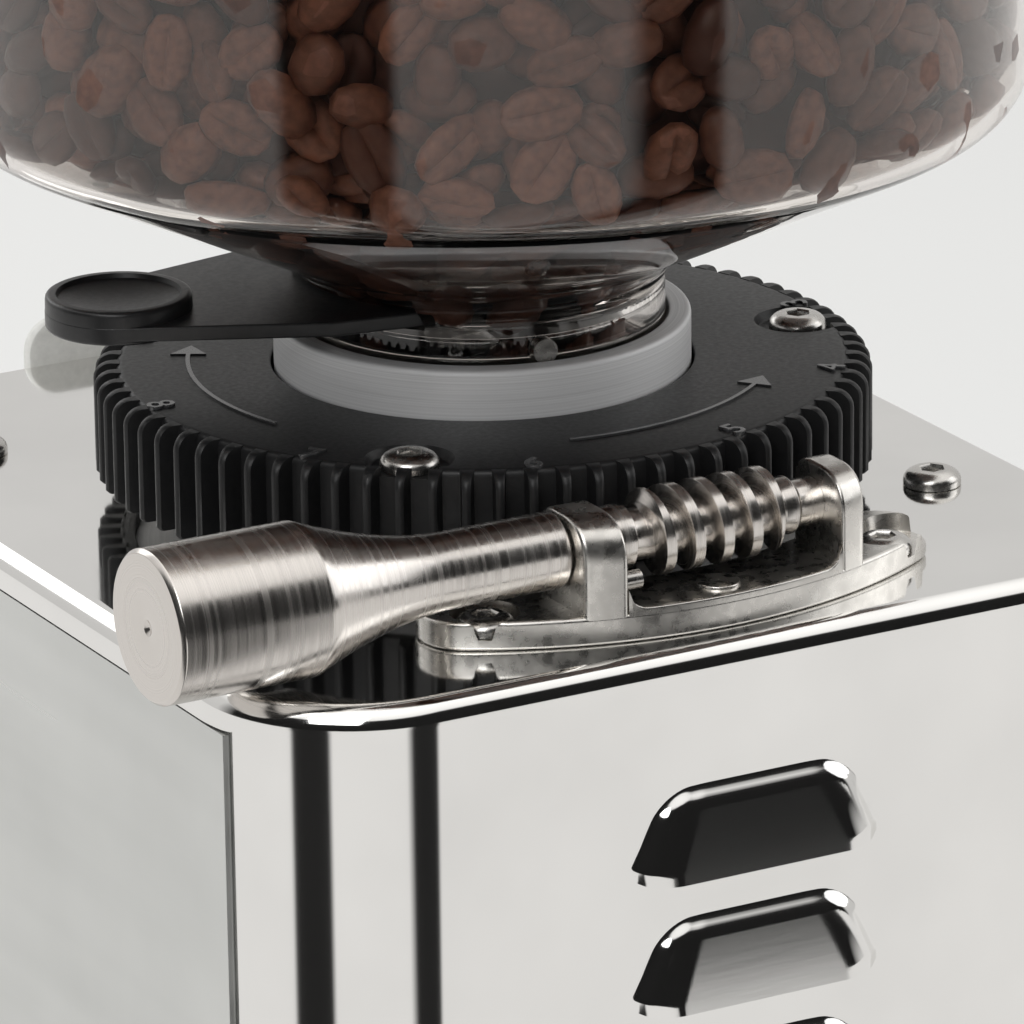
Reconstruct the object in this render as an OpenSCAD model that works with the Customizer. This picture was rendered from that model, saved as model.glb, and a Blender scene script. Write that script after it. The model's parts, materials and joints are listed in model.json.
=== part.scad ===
// On-demand burr coffee grinder with a worm-driven stepless adjusting ring.
// Millimetres. Z = 0 is the table, X points to the user's right, Y to the back.
// Every piece is drawn around the burr axis and then moved by placed().

/* [Housing] */
// Width of the housing
body_w = 163; // [150:1:180]
// Burr axis to the back face
back_y = 85.3; // [84:0.1:95]
// Burr axis to the front face
front_y = 98; // [96:1:110]
// Height of the polished top plate above the table
plate_z = 262; // [255:1:300]
// Wall thickness of the pressed shell
shell_wall = 3; // [2:0.5:4]
// Thickness of the side and front panels
panel_t = 1.5; // [1:0.5:2]
// Radius of the rear vertical corners
corner_r = 27; // [20:1:28]
// Radius of the bend round the top plate
bend_r = 3.7; // [2:0.1:5]
// Number of ventilation louvres in the back
louvre_rows = 6; // [3:1:7]

/* [Base] */
// Burr axis to the front edge of the base
base_front = 165; // [160:1:180]
// Thickness of the base casting
base_t = 10; // [8:1:14]
// Height of the rubber feet
foot_h = 12; // [8:1:16]
// Diameter of the rubber feet
foot_d = 26; // [20:1:30]

/* [Adjusting ring] */
// Teeth on the adjusting ring
teeth = 75; // [75:1:75]
// Tip diameter of the adjusting ring
gear_d = 125; // [125:1:125]
// Tooth height
tooth_h = 3.7; // [3.5:0.1:3.9]
// Thickness of the adjusting ring
gear_t = 17; // [16:0.5:18]
// Air gap between ring and top plate
gear_gap = 5.4; // [5:0.1:6]

/* [Worm] */
// Outside diameter of the worm thread
worm_d = 13.9; // [13.5:0.1:13.9]
// Root diameter of the worm thread
worm_root_d = 8.2; // [8:0.1:8.3]
// Crest width of the worm thread
worm_crest = 1.5; // [1.2:0.1:1.6]
// Diameter of the turned hand knob
knob_d = 24; // [20:1:25]
// Burr axis to the knob's end face
knob_end = 94; // [90:1:98]

/* [Hopper] */
// Outside diameter of the bowl at its rim
bowl_d = 179; // [170:1:182]
// Height of the bowl rim above the adjusting ring
bowl_h = 150; // [110:5:170]
// Wall of the clear hopper
bowl_wall = 2.2; // [2:0.1:3]
// Outside diameter of the hopper neck
neck_d = 58.8; // [58:0.1:59]

/* [Burrs] */
// Outside diameter of the flat burrs
burr_d = 64; // [60:1:64]
// Thickness of a burr
burr_t = 7; // [6:0.5:8]
// Gap between the burrs
burr_gap = 0.3; // [0.3:0.1:0.6]

/* [Hidden] */
$fn = 96;
eps = 0.01;

// Frame: the origin is the middle of the whole grinder's footprint.
rim_r = bowl_d / 2;
lid_r = rim_r + 1;
burr_x = (lid_r - knob_end) / 2;
burr_y = (base_front - lid_r) / 2;
louvre_out = 4;

// Heights.
base_z = foot_h;
shell_z = base_z + base_t;
inner_z = plate_z - shell_wall;
gear_z = plate_z + gear_gap;
gear_top = gear_z + gear_t;
collar_top = gear_top + 7.8;

// Adjusting ring and worm.
tip_r = gear_d / 2;
root_r = tip_r - tooth_h;
pitch_r = tip_r - 1.6;
lead = 2 * PI * pitch_r / teeth;
mesh_depth = 2.7;
worm_y = tip_r - mesh_depth + worm_d / 2;
worm_z = gear_top - 9;
gap_root = 2.9;
gap_tip = 3.9;
collar_r = 33.5;
collar_bore_r = 29.9;
carrier_flange_r = 56.4;
web_t = 7;
screw_ring_r = 53.7;
ring_angles = [49, 169, 289];

// Burr stack, from the chamber floor up.
chamber_floor = 208;
barrel_r = 42;
chamber_bore_r = barrel_r + 0.08;
lower_burr_z = 221;
upper_burr_z = lower_burr_z + burr_t + burr_gap;
carrier_z = upper_burr_z + burr_t;
burr_eye_r = 19;
burr_screw_r = 25.5;

// Motor.
motor_r = 54;
core_z = 110;
core_top = 170;
bell_top = 200;
bell_bottom = 78;
shaft_r = 8.5;
tail_r = 7.5;
stator_bore_r = 28;
motor_bolt_r = 57.5;
motor_bore_r = 50.5;
ear_h = 12;
bolt_hole_r = 2.5;
bearing_r = 20;
tail_bearing_r = 17.5;

// Screws.
m5_head_r = 4.75;
m5_head_h = 2.75;
m5_r = 2.45;
m5_hex_r = 1.75;

// Front of the machine.
spout_y = -119;
spout_r = 20.4;
tube_r = 16;
tube_bore_r = 14;
tube_low = 176;
duct_z = 206;
duct_h = 26;
fork_z = 120;
fork_x = 31;
hood_w = 68;
hood_y = 42;
hood_top = plate_z + 6.8;
hood_bottom = 190;
hood_lip = 3;
hood_shoulder = plate_z - 8;
hood_brow = plate_z - 24;
button_gap = 5;
switch_y = -62;
switch_z = 120;
rocker_tilt = 10;
inlet_x = 42;
inlet_z = 48;

// Gate: the plate lies in a slot in the hopper neck and is pulled out.
gate_angle = -8;
gate_z = gear_top + 13.25;
gate_t = 2.4;
gate_half = 22.6;
gate_knob_r = 11.7;
gate_knob_x = 61;

module placed() {
    translate([burr_x, burr_y, 0]) children();
}

module rounded_rect(w, d, r) {
    square([w - 2 * r, d], center = true);
    square([w, d - 2 * r], center = true);
    for (x = [-1, 1], y = [-1, 1])
        translate([x * (w / 2 - r), y * (d / 2 - r)]) circle(r = r);
}

// Ring about Z between two heights.
module tube(r_out, r_in, z0, z1) {
    translate([0, 0, z0])
        difference() {
            cylinder(r = r_out, h = z1 - z0);
            translate([0, 0, -1]) cylinder(r = r_in, h = z1 - z0 + 2);
        }
}

// Button-head screw with its seat at z = 0 and its shank going down.
module button_screw(shank) {
    difference() {
        rotate_extrude()
            intersection() {
                translate([0, -0.9]) circle(r = 4.85);
                translate([0, 0]) square([m5_head_r, m5_head_h]);
            }
        translate([0, 0, 1]) cylinder(r = m5_hex_r, h = 5, $fn = 6);
    }
    translate([0, 0, -shank]) cylinder(r = m5_r, h = shank + eps);
}

module cap_screw(head_r, head_h, shank_r, shank) {
    difference() {
        cylinder(r = head_r, h = head_h);
        translate([0, 0, head_h / 2]) cylinder(r = head_r / 2, h = head_h, $fn = 6);
    }
    translate([0, 0, -shank]) cylinder(r = shank_r, h = shank + eps);
}

// ---------- base ----------

foot_places = [for (x = [-68, 68], y = [-150, 70]) [x, y]];

module rubber_feet() {
    color("#1c1c1e") placed()
        for (p = foot_places) translate([p[0], p[1], 0])
            difference() {
                union() {
                    cylinder(r = foot_d / 2, h = foot_h - 3);
                    cylinder(r = foot_d / 2 - 2, h = foot_h);
                }
                translate([0, 0, -1]) cylinder(r = 5.5, h = 7);
                translate([0, 0, -1]) cylinder(r = 2.2, h = foot_h + 2);
            }
}

module feet_screws() {
    color("#b9bcc0") placed()
        for (p = foot_places) translate([p[0], p[1], 6])
            mirror([0, 0, 1]) cap_screw(4.4, 2.8, 2.1, 14);
}

tray_w = 128;
tray_d = 57;
tray_y = -132;

module base_plate() {
    color("#9ea1a5") placed()
        difference() {
            translate([0, (back_y - base_front) / 2, base_z])
                linear_extrude(base_t) rounded_rect(body_w, back_y + base_front, 8);
            translate([0, tray_y, base_z + 5])
                linear_extrude(base_t) rounded_rect(tray_w + 1, tray_d + 1, 8.5);
            for (p = foot_places) translate([p[0], p[1], base_z - 1])
                cylinder(r = 2.15, h = base_t);
        }
}

module drip_tray() {
    color("#2a2a2c") placed()
        translate([0, tray_y, base_z + 5.3])
            difference() {
                union() {
                    linear_extrude(12) rounded_rect(tray_w, tray_d, 8);
                    translate([0, 0, 10]) linear_extrude(2)
                        rounded_rect(tray_w + 4, tray_d + 4, 9);
                }
                translate([0, 0, 2]) linear_extrude(12)
                    rounded_rect(tray_w - 4, tray_d - 4, 6);
            }
}

// ---------- housing ----------

// One rounded column of the housing, with a rounded top edge.
module column(r, edge, h) {
    rotate_extrude() {
        square([r, h - edge]);
        square([r - edge, h]);
        translate([r - edge, h - edge]) intersection() {
            circle(r = edge);
            square(edge);
        }
    }
}

front_corner_r = 6;

module housing_block(inset, z0) {
    w = body_w / 2 - inset;
    h = plate_z - inset - z0;
    rear = corner_r - inset;
    front = front_corner_r - inset;
    edge = max(bend_r - inset, 0.7);
    hull() {
        for (s = [-1, 1]) {
            translate([s * (w - rear), back_y - inset - rear, z0])
                column(rear, edge, h, $fn = 48);
            translate([s * (w - front), inset + front - front_y, z0])
                column(front, edge, h, $fn = 48);
        }
    }
}

panel_seam_y = 66;
panel_low = shell_z + 4;
panel_high = plate_z - bend_r - 2.6;

// Outline of a side panel, seen along X: a plain rectangle in Y and Z.
module side_slab(x0, t, grow) {
    y0 = 8 - front_y - grow;
    translate([x0, y0, panel_low - grow])
        cube([t, panel_seam_y - y0 + grow, panel_high - panel_low + 2 * grow]);
}

module front_slab(y0, t, grow) {
    w = body_w - 20 + 2 * grow;
    translate([-w / 2, y0, panel_low - grow])
        cube([w, t, panel_high - panel_low + 2 * grow]);
}

side_screw_places = [[-80, 244], [-80, 34], [58, 34]];
front_screw_places = [[-64, 244], [64, 244], [-64, 34], [64, 34]];

louvre_pitch = 21.4;
louvre_h = 14.9;
louvre_top = plate_z - 21.3;
louvre_w = 45.4;

// Profile of one louvre across the back face: Y out of the face, Z down.
module louvre_profile(out, drop) {
    polygon([[-0.5, 0], [out * 0.6, -drop * 0.28], [out, -drop], [-0.5, -drop]]);
}

module louvre(z) {
    translate([0, back_y, z]) difference() {
        rotate([90, 0, 90]) translate([0, 0, -louvre_w / 2])
            linear_extrude(louvre_w) louvre_profile(louvre_out, louvre_h);
        translate([0, 0, -1.6]) rotate([90, 0, 90]) translate([0, 0, 1.2 - louvre_w / 2])
            linear_extrude(louvre_w - 2.4) louvre_profile(louvre_out - 1.2, louvre_h);
    }
}

module body_shell() {
    color("#c9cbcd") placed() {
        difference() {
            housing_block(0, shell_z);
            housing_block(shell_wall, shell_z - 1);
            panel_screw_holes(panel_shank_r + 0.02);
            side_slab(body_w / 2 - panel_t, panel_t + 1, 0.3);
            side_slab(-body_w / 2 - 1, panel_t + 1, 0.3);
            side_slab(body_w / 2 - 10, 20, -9);
            side_slab(-body_w / 2 - 10, 20, -9);
            front_slab(-front_y - 1, panel_t + 1, 0.3);
            front_slab(-front_y - 1, 10, -9);
            translate([0, 0, inner_z - 1]) cylinder(r = 46.2, h = 10);
            for (p = plate_screw_places) translate([p[0], p[1], inner_z - 1])
                cylinder(r = m5_r + 0.05, h = 10);
            for (i = [0 : louvre_rows - 1])
                translate([-louvre_w / 2 + 3, back_y - 5, louvre_top - i * louvre_pitch - louvre_h + 1])
                    cube([louvre_w - 6, 6, louvre_h - 6]);
            translate([inlet_x - 14, back_y - 6, inlet_z - 10.5]) cube([28, 8, 21]);
        }
        for (i = [0 : louvre_rows - 1]) louvre(louvre_top - i * louvre_pitch);
    }
}

panel_shank_r = 2.1;

module at_panel_screws() {
    for (s = [-1, 1], p = side_screw_places)
        translate([s * body_w / 2, p[0], p[1]]) rotate([0, s * 90, 0]) children();
    for (p = front_screw_places)
        translate([p[0], -front_y, p[1]]) rotate([90, 0, 0]) children();
}

module panel_screw_holes(r) {
    at_panel_screws() translate([0, 0, -6]) cylinder(r = r, h = 8);
}

module side_panel_right() {
    color("#c3c5c2") placed()
        difference() {
            side_slab(body_w / 2 - panel_t, panel_t, 0);
            panel_screw_holes(panel_shank_r + 0.05);
            translate([body_w / 2 - 4, switch_y - 9, switch_z - 15]) cube([6, 18, 30]);
        }
}

module side_panel_left() {
    color("#c3c5c2") placed()
        difference() {
            side_slab(-body_w / 2, panel_t, 0);
            panel_screw_holes(panel_shank_r + 0.05);
        }
}

module front_panel() {
    color("#c9cbcd") placed()
        difference() {
            front_slab(-front_y, panel_t, 0);
            panel_screw_holes(panel_shank_r + 0.05);
            translate([-17.3, -front_y - 2, duct_z - 0.3]) cube([34.6, 6, duct_h + 0.6]);
            translate([0, 2 - front_y, fork_z]) rotate([90, 0, 0]) cylinder(r = 4, h = 6);
            for (x = [-17, 17]) translate([x, 2 - front_y, fork_z]) rotate([90, 0, 0])
                cylinder(r = m5_r + 0.05, h = 6);
        }
}

module panel_screws() {
    color("#b9bcc0") placed() at_panel_screws() cap_screw(3.6, 2, panel_shank_r, 5);
}

// ---------- front: hood, chute, spout, fork, button ----------

// Side view of the hood in Y and Z, drawn in by some inset at its top and front.
module hood_side(inset) {
    back = -front_y + inset;
    front = -front_y - hood_y + inset;
    low = hood_bottom - inset;
    polygon([
        [back, low], [back, hood_shoulder - inset], [-front_y - hood_lip, hood_shoulder - inset],
        [front, hood_brow - inset], [front, low]
    ]);
}

module hood_extrusion(w, inset) {
    translate([-w / 2, 0, 0]) rotate([90, 0, 90]) linear_extrude(w) hood_side(inset);
}

// Front view of the hood in X and Z, with rounded top corners.
module hood_front() {
    r = 6;
    x = hood_w / 2;
    translate([-x, hood_bottom]) square([hood_w, hood_top - hood_bottom - r]);
    translate([r - x, hood_bottom]) square([hood_w - 2 * r, hood_top - hood_bottom]);
    for (s = [-1, 1]) translate([s * (x - r), hood_top - r]) circle(r = r);
}

module front_hood() {
    color("#dcdcd8") placed()
        difference() {
            union() {
                hood_extrusion(hood_w, 0);
                translate([0, -front_y, 0]) rotate([90, 0, 0]) linear_extrude(hood_lip) hood_front();
            }
            hood_extrusion(hood_w - 4, 2);
        }
}

module coffee_chute() {
    color("#202124") placed()
        difference() {
            union() {
                translate([-17, -135, duct_z]) cube([34, 79, duct_h]);
                translate([0, spout_y, tube_low]) cylinder(r = tube_r, h = duct_z - tube_low + 1);
            }
            translate([-14, -133, duct_z + 2]) cube([28, 80, duct_h - 4]);
            translate([0, spout_y, tube_low - 6]) cylinder(r = tube_bore_r, h = duct_z - tube_low + 9);
        }
}

module spout() {
    color("#a9acb0") placed()
        translate([0, spout_y, 0]) rotate_extrude()
            polygon([
                [tube_bore_r, 150], [spout_r - 1.5, 150], [spout_r, 152], [spout_r, 190],
                [tube_r, 190], [tube_r, tube_low], [tube_bore_r, tube_low]
            ]);
}

module portafilter_fork() {
    color("#b4b7ba") placed()
        difference() {
            union() {
                translate([-38, -front_y - 7, fork_z - 13]) cube([76, 7, 26]);
                for (s = [-1, 1]) {
                    translate([s * fork_x, -front_y - 6, fork_z]) rotate([90, 0, 0])
                        cylinder(r = 4.5, h = 50);
                    translate([s * fork_x, -front_y - 56, fork_z]) sphere(r = 4.5);
                }
            }
            translate([0, 2 - front_y, fork_z]) rotate([90, 0, 0]) cylinder(r = 8.3, h = 12);
            for (x = [-17, 17]) translate([x, 2 - front_y, fork_z]) rotate([90, 0, 0])
                cylinder(r = m5_r + 0.05, h = 12);
        }
}

module fork_screws() {
    color("#b9bcc0") placed()
        for (x = [-17, 17]) translate([x, -front_y - 7, fork_z]) rotate([90, 0, 0])
            button_screw(12);
}

module activation_button() {
    color("#202124") placed()
        translate([0, 0, fork_z]) rotate([90, 0, 0]) {
            translate([0, 0, front_y + button_gap]) cylinder(r = 8, h = 8);
            translate([0, 0, front_y + button_gap + 8]) cylinder(r1 = 8, r2 = 7, h = 1);
            translate([0, 0, front_y - 3.5]) cylinder(r = 3.6, h = button_gap + 4);
        }
}

module button_spring() {
    color("#8f9296") placed()
        translate([0, 0, fork_z]) rotate([90, 0, 0]) tube(6.6, 5.2, front_y, front_y + button_gap);
}

module microswitch() {
    color("#2a2a2c") placed() {
        translate([-14, -front_y + 8.5, fork_z - 10]) cube([28, 12, 20]);
        for (z = [-6, 0, 6]) translate([-2, -front_y + 20, fork_z + z - 0.4]) cube([4, 8, 0.8]);
    }
}

// ---------- power switch and inlet ----------

module switch_frame() {
    color("#202124") placed()
        translate([body_w / 2, switch_y, switch_z]) difference() {
            union() {
                translate([0, -11, -17]) cube([2, 22, 34]);
                translate([-18, -8.8, -14.8]) cube([18 + eps, 17.6, 29.6]);
            }
            translate([-11, -7.1, -12.8]) cube([14, 14.2, 25.6]);
            translate([-3, 0, 0]) rotate([90, 0, 0]) translate([0, 0, -8])
                cylinder(r = 1.55, h = 16);
        }
}

module rocker() {
    color("#8c1a16") placed()
        translate([body_w / 2 - 3, switch_y, switch_z]) rotate([0, rocker_tilt, 0]) {
            rotate([90, 0, 0]) translate([0, 0, -6.8]) linear_extrude(13.6)
                polygon([[-5, -4], [1, -11], [5.6, -11], [4, 0], [5.6, 11], [1, 11], [-5, 4]]);
            rotate([90, 0, 0]) translate([0, 0, -7.8]) cylinder(r = 1.5, h = 15.6);
        }
}

pin_places = [[-7, -2], [7, -2], [0, 3]];

module mains_inlet() {
    color("#202124") placed()
        translate([inlet_x, back_y, inlet_z]) difference() {
            union() {
                translate([-16, 0, -12.5]) cube([32, 2.4, 25]);
                translate([-13.8, -17, -10.3]) cube([27.6, 17 + eps, 20.6]);
            }
            translate([-12, -14.6, -8.2]) cube([24, 20, 16.4]);
            for (p = pin_places) translate([p[0] - 1.1, -18, p[1] - 2.1]) cube([2.2, 6, 4.2]);
        }
}

module inlet_pins() {
    color("#c8b46a") placed()
        for (p = pin_places)
            translate([inlet_x + p[0] - 1, back_y - 24, inlet_z + p[1] - 2]) cube([2, 17, 4]);
}

// ---------- grinding chamber and top plate screws ----------

plate_screw_places = [for (x = [-62.5, 62.5], y = [-58, 36]) [x, y]];

module grinding_chamber() {
    color("#a4a7aa") placed()
        difference() {
            union() {
                translate([0, 0, bell_top]) cylinder(r = 52, h = inner_z - bell_top);
                tube(45.5, chamber_bore_r, inner_z - 1, gear_z - 2);
                translate([-70, -66, inner_z - 8]) cube([140, 110, 8]);
                translate([-18, -56, 203]) cube([36, 20, 34]);
                for (a = [45 : 90 : 315]) rotate([0, 0, a]) translate([motor_bolt_r, 0, bell_top])
                    cylinder(r = 7, h = 14);
            }
            translate([0, 0, chamber_floor]) cylinder(r = chamber_bore_r, h = 80);
            translate([0, 0, bell_top - 1]) cylinder(r = 9.5, h = 20);
            translate([-14, -60, chamber_floor]) cube([28, 40, duct_h - 4]);
            bolt_holes(bell_top - 1, 13);
            for (p = plate_screw_places) translate([p[0], p[1], inner_z - 9])
                cylinder(r = m5_r + 0.05, h = 10);
        }
}

module plate_screws() {
    color("#b9bcc0") placed()
        for (p = plate_screw_places) translate([p[0], p[1], plate_z]) button_screw(9);
}

module preload_spring() {
    color("#8f9296") placed() tube(45.2, 42.6, gear_z - 2, gear_z + 1.6);
}

// ---------- motor ----------

module bolt_ears(z, h) {
    for (a = [45 : 90 : 315]) rotate([0, 0, a])
        translate([motor_bolt_r, 0, z]) cylinder(r = 6, h = h);
}

module bolt_holes(z, h) {
    for (a = [45 : 90 : 315]) rotate([0, 0, a])
        translate([motor_bolt_r, 0, z]) cylinder(r = bolt_hole_r, h = h);
}

module motor_upper_bell() {
    color("#9a9da1") placed()
        difference() {
            union() {
                translate([0, 0, core_top]) cylinder(r = motor_r, h = bell_top - core_top);
                bolt_ears(bell_top - ear_h, ear_h);
            }
            translate([0, 0, core_top - 1]) cylinder(r = motor_bore_r, h = 18);
            translate([0, 0, core_top]) cylinder(r = bearing_r, h = 29);
            cylinder(r = 10, h = bell_top + 1);
            bolt_holes(bell_top - 13, 14);
        }
}

module motor_lower_bell() {
    color("#9a9da1") placed()
        difference() {
            union() {
                translate([0, 0, bell_bottom]) cylinder(r = motor_r, h = core_z - bell_bottom);
                bolt_ears(bell_bottom, ear_h);
            }
            translate([0, 0, bell_bottom + ear_h]) cylinder(r = motor_bore_r, h = 30);
            translate([0, 0, bell_bottom + 1]) cylinder(r = tail_bearing_r, h = 30);
            cylinder(r = 9, h = 100);
            bolt_holes(bell_bottom - 1, 14);
            for (a = [0 : 60 : 300]) rotate([0, 0, a])
                translate([32, 0, bell_bottom - 1]) cylinder(r = 6, h = 14);
        }
}

module motor_bolts() {
    color("#b9bcc0") placed()
        for (a = [45 : 90 : 315]) rotate([0, 0, a]) translate([motor_bolt_r, 0, bell_bottom]) {
            translate([0, 0, -3]) cylinder(r = 4.2, h = 3);
            cylinder(r = bolt_hole_r, h = bell_top + 11 - bell_bottom);
        }
}

module stator_core() {
    color("#6f7276") placed()
        difference() {
            tube(motor_r, stator_bore_r, core_z, core_top);
            for (a = [0 : 90 : 270]) rotate([0, 0, a + 45])
                translate([motor_r - 3, -4, core_z - 1]) cube([5, 8, core_top - core_z + 2]);
            for (a = [0 : 15 : 345]) rotate([0, 0, a])
                translate([31, -1.6, core_z - 1]) cube([14, 3.2, core_top - core_z + 2]);
        }
}

module stator_windings() {
    color("#b0662f") placed() {
        tube(46, 31, core_top, core_top + 14);
        tube(46, 31, core_z - 14, core_z);
        for (a = [0 : 15 : 345]) rotate([0, 0, a])
            translate([31.4, -1.5, core_z - 1]) cube([13, 3, core_top - core_z + 2]);
    }
}

module rotor_core() {
    color("#6f7276") placed() tube(27.5, shaft_r, core_z, core_top);
}

module motor_shaft() {
    color("#a9acb0") placed() {
        translate([0, 0, 92]) cylinder(r = shaft_r, h = 129 - eps);
        translate([0, 0, 58]) cylinder(r = tail_r, h = 35);
        translate([0, 0, 220]) cylinder(r = 5, h = 9);
    }
}

module upper_bearing() {
    color("#a9acb0") placed() tube(bearing_r, shaft_r + 0.03, bell_top - 13, bell_top - 1);
}

module lower_bearing() {
    color("#a9acb0") placed() tube(tail_bearing_r, tail_r + 0.03, bell_bottom + 1, bell_bottom + ear_h);
}

module cooling_fan() {
    color("#202124") placed() {
        tube(13, tail_r, 60, 74);
        for (a = [0 : 40 : 320]) rotate([0, 0, a])
            translate([12.5, 0, 67]) rotate([35, 0, 0]) translate([0, -7, -0.8]) cube([26, 14, 1.6]);
    }
}

module capacitor() {
    color("#d8d8d4") placed()
        translate([-55, 58, shell_z]) {
            cylinder(r = 15, h = 56);
            for (x = [-6, 6]) translate([x - 3, -0.4, 55]) cube([6, 0.8, 10]);
        }
}

module terminal_block() {
    color("#e4e2d8") placed()
        translate([30, 62, shell_z]) {
            difference() {
                cube([34, 14, 14]);
                for (x = [5 : 8 : 29]) translate([x, 7, 6]) cylinder(r = 2.4, h = 10);
            }
        }
}

// ---------- burrs ----------

module burr_ring(z, up) {
    r = burr_d / 2;
    difference() {
        tube(r, burr_eye_r, z, z + burr_t);
        face = up ? z + burr_t - 1.6 : z - 1;
        for (a = [0 : 15 : 345]) rotate([0, 0, a])
            translate([burr_eye_r - 1, -1.2, face]) rotate([0, 0, 14]) cube([20, 1.8, 2.6]);
        for (a = [60 : 120 : 300]) rotate([0, 0, a]) translate([burr_screw_r, 0, z - 1]) {
            cylinder(r = 1.6, h = burr_t + 2);
            translate([0, 0, up ? 4 : 0]) cylinder(r = 3.2, h = burr_t - 2);
        }
    }
}

module lower_burr_carrier() {
    color("#8f9296") placed()
        difference() {
            union() {
                translate([0, 0, chamber_floor + 3]) cylinder(r = 38, h = lower_burr_z - chamber_floor - 3);
                for (a = [0 : 120 : 240]) rotate([0, 0, a])
                    translate([30, -3, chamber_floor + 1]) cube([11, 6, 10]);
            }
            translate([0, 0, chamber_floor]) cylinder(r = shaft_r, h = 20);
            for (a = [60 : 120 : 300]) rotate([0, 0, a])
                translate([burr_screw_r, 0, chamber_floor + 4]) cylinder(r = 1.6, h = 20);
        }
}

module lower_burr() {
    color("#7d8085") placed() burr_ring(lower_burr_z, true);
}

module lower_burr_screws() {
    color("#b9bcc0") placed()
        for (a = [60 : 120 : 300]) rotate([0, 0, a])
            translate([burr_screw_r, 0, lower_burr_z + 3]) cap_screw(3, 2, 1.6, 8);
}

module carrier_nut() {
    color("#b9bcc0") placed()
        difference() {
            translate([0, 0, lower_burr_z]) cylinder(r = 9.5, h = 6, $fn = 6);
            translate([0, 0, lower_burr_z - 1]) cylinder(r = 5, h = 8);
        }
}

module upper_burr() {
    color("#7d8085") placed() burr_ring(upper_burr_z, false);
}

module upper_burr_screws() {
    color("#b9bcc0") placed()
        for (a = [60 : 120 : 300]) rotate([0, 0, a])
            translate([burr_screw_r, 0, upper_burr_z + 4]) mirror([0, 0, 1])
                cap_screw(3, 2, 1.6, 7);
}

module upper_burr_carrier() {
    color("#c6c7c9") placed()
        difference() {
            rotate_extrude() polygon([
                [burr_eye_r, carrier_z], [burr_eye_r, carrier_z + 5], [26, carrier_z + 17],
                [26, gear_top - 8.4], [collar_bore_r, gear_top - 8.4], [collar_bore_r, collar_top],
                [collar_r - 1, collar_top], [collar_r, collar_top - 1], [collar_r, gear_top - web_t],
                [carrier_flange_r, gear_top - web_t], [carrier_flange_r, gear_z + 2],
                [barrel_r, gear_z + 2], [barrel_r, carrier_z]
            ]);
            for (a = ring_angles) rotate([0, 0, a]) translate([screw_ring_r, 0, gear_z + 1])
                cylinder(r = m5_r, h = 12);
            for (a = [60 : 120 : 300]) rotate([0, 0, a])
                translate([burr_screw_r, 0, carrier_z - 1]) cylinder(r = 1.6, h = 5);
        }
}

// ---------- adjusting ring ----------

gap_a_root = gap_root / root_r * 90 / PI;
gap_a_tip = gap_tip / tip_r * 90 / PI;

function polar(r, a) = [r * cos(a), r * sin(a)];

// Corner points of the toothed outline, one gap centred on the +Y axis.
gear_points = [
    for (i = [0 : teeth - 1])
        let (a = 90 + i * 360 / teeth)
        each [
            polar(tip_r, a - gap_a_tip), polar(root_r, a - gap_a_root),
            polar(root_r, a + gap_a_root), polar(tip_r, a + gap_a_tip)
        ]
];

module adjusting_ring() {
    color("#1d1d1f") placed()
        difference() {
            translate([0, 0, gear_z]) linear_extrude(gear_t) polygon(gear_points);
            translate([0, 0, gear_z - 1]) cylinder(r = carrier_flange_r + 0.1, h = gear_t - web_t + 1);
            translate([0, 0, gear_z - 1]) cylinder(r = collar_r + 0.5, h = gear_t + 2);
            for (a = ring_angles) rotate([0, 0, a]) {
                translate([screw_ring_r, 0, gear_z]) cylinder(r = m5_r + 0.1, h = gear_t + 1);
                translate([screw_ring_r, 0, gear_top - 1.5]) cylinder(r = 7, h = 3);
            }
        }
}

module ring_screws() {
    color("#b9bcc0") placed()
        for (a = ring_angles) rotate([0, 0, a])
            translate([screw_ring_r, 0, gear_top - 1.5]) button_screw(11);
}

// ---------- worm ----------

bracket_t = 4.7;
bracket_out_r = 79;
bracket_in_r = 63;
bracket_half = 31;
bracket_screw_r = 73.8;
bracket_screw_a = 28.8;
lug_y = 61.1;
lug_out_y = 75.6;
lug_top = worm_z + 6.1;
journal_r = 3.75;
lugs = [[16.8, 24.3], [-26.3, -21.5]];

module bracket_outline() {
    difference() {
        intersection() {
            circle(r = bracket_out_r);
            polygon([[0, 0], polar(120, 90 - bracket_half), polar(160, 90), polar(120, 90 + bracket_half)]);
        }
        circle(r = bracket_in_r);
    }
    for (s = [-1, 1])
        translate(polar((bracket_out_r + bracket_in_r) / 2, 90 + s * bracket_half))
            circle(r = (bracket_out_r - bracket_in_r) / 2);
}

// Lug profile in Y and Z: rounded outer shoulder over the bearing hole.
module lug_profile() {
    round = 4.5;
    h = lug_top - plate_z;
    translate([lug_y, 1]) square([lug_out_y - lug_y, h - 1 - round]);
    translate([lug_y + 2, 1]) square([lug_out_y - lug_y - 2 - round, h - 1]);
    translate([lug_y + 2, h - 2]) circle(r = 2);
    translate([lug_y, h - round - 2]) square([4, round]);
    translate([lug_out_y - round, h - round]) circle(r = round);
}

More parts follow.
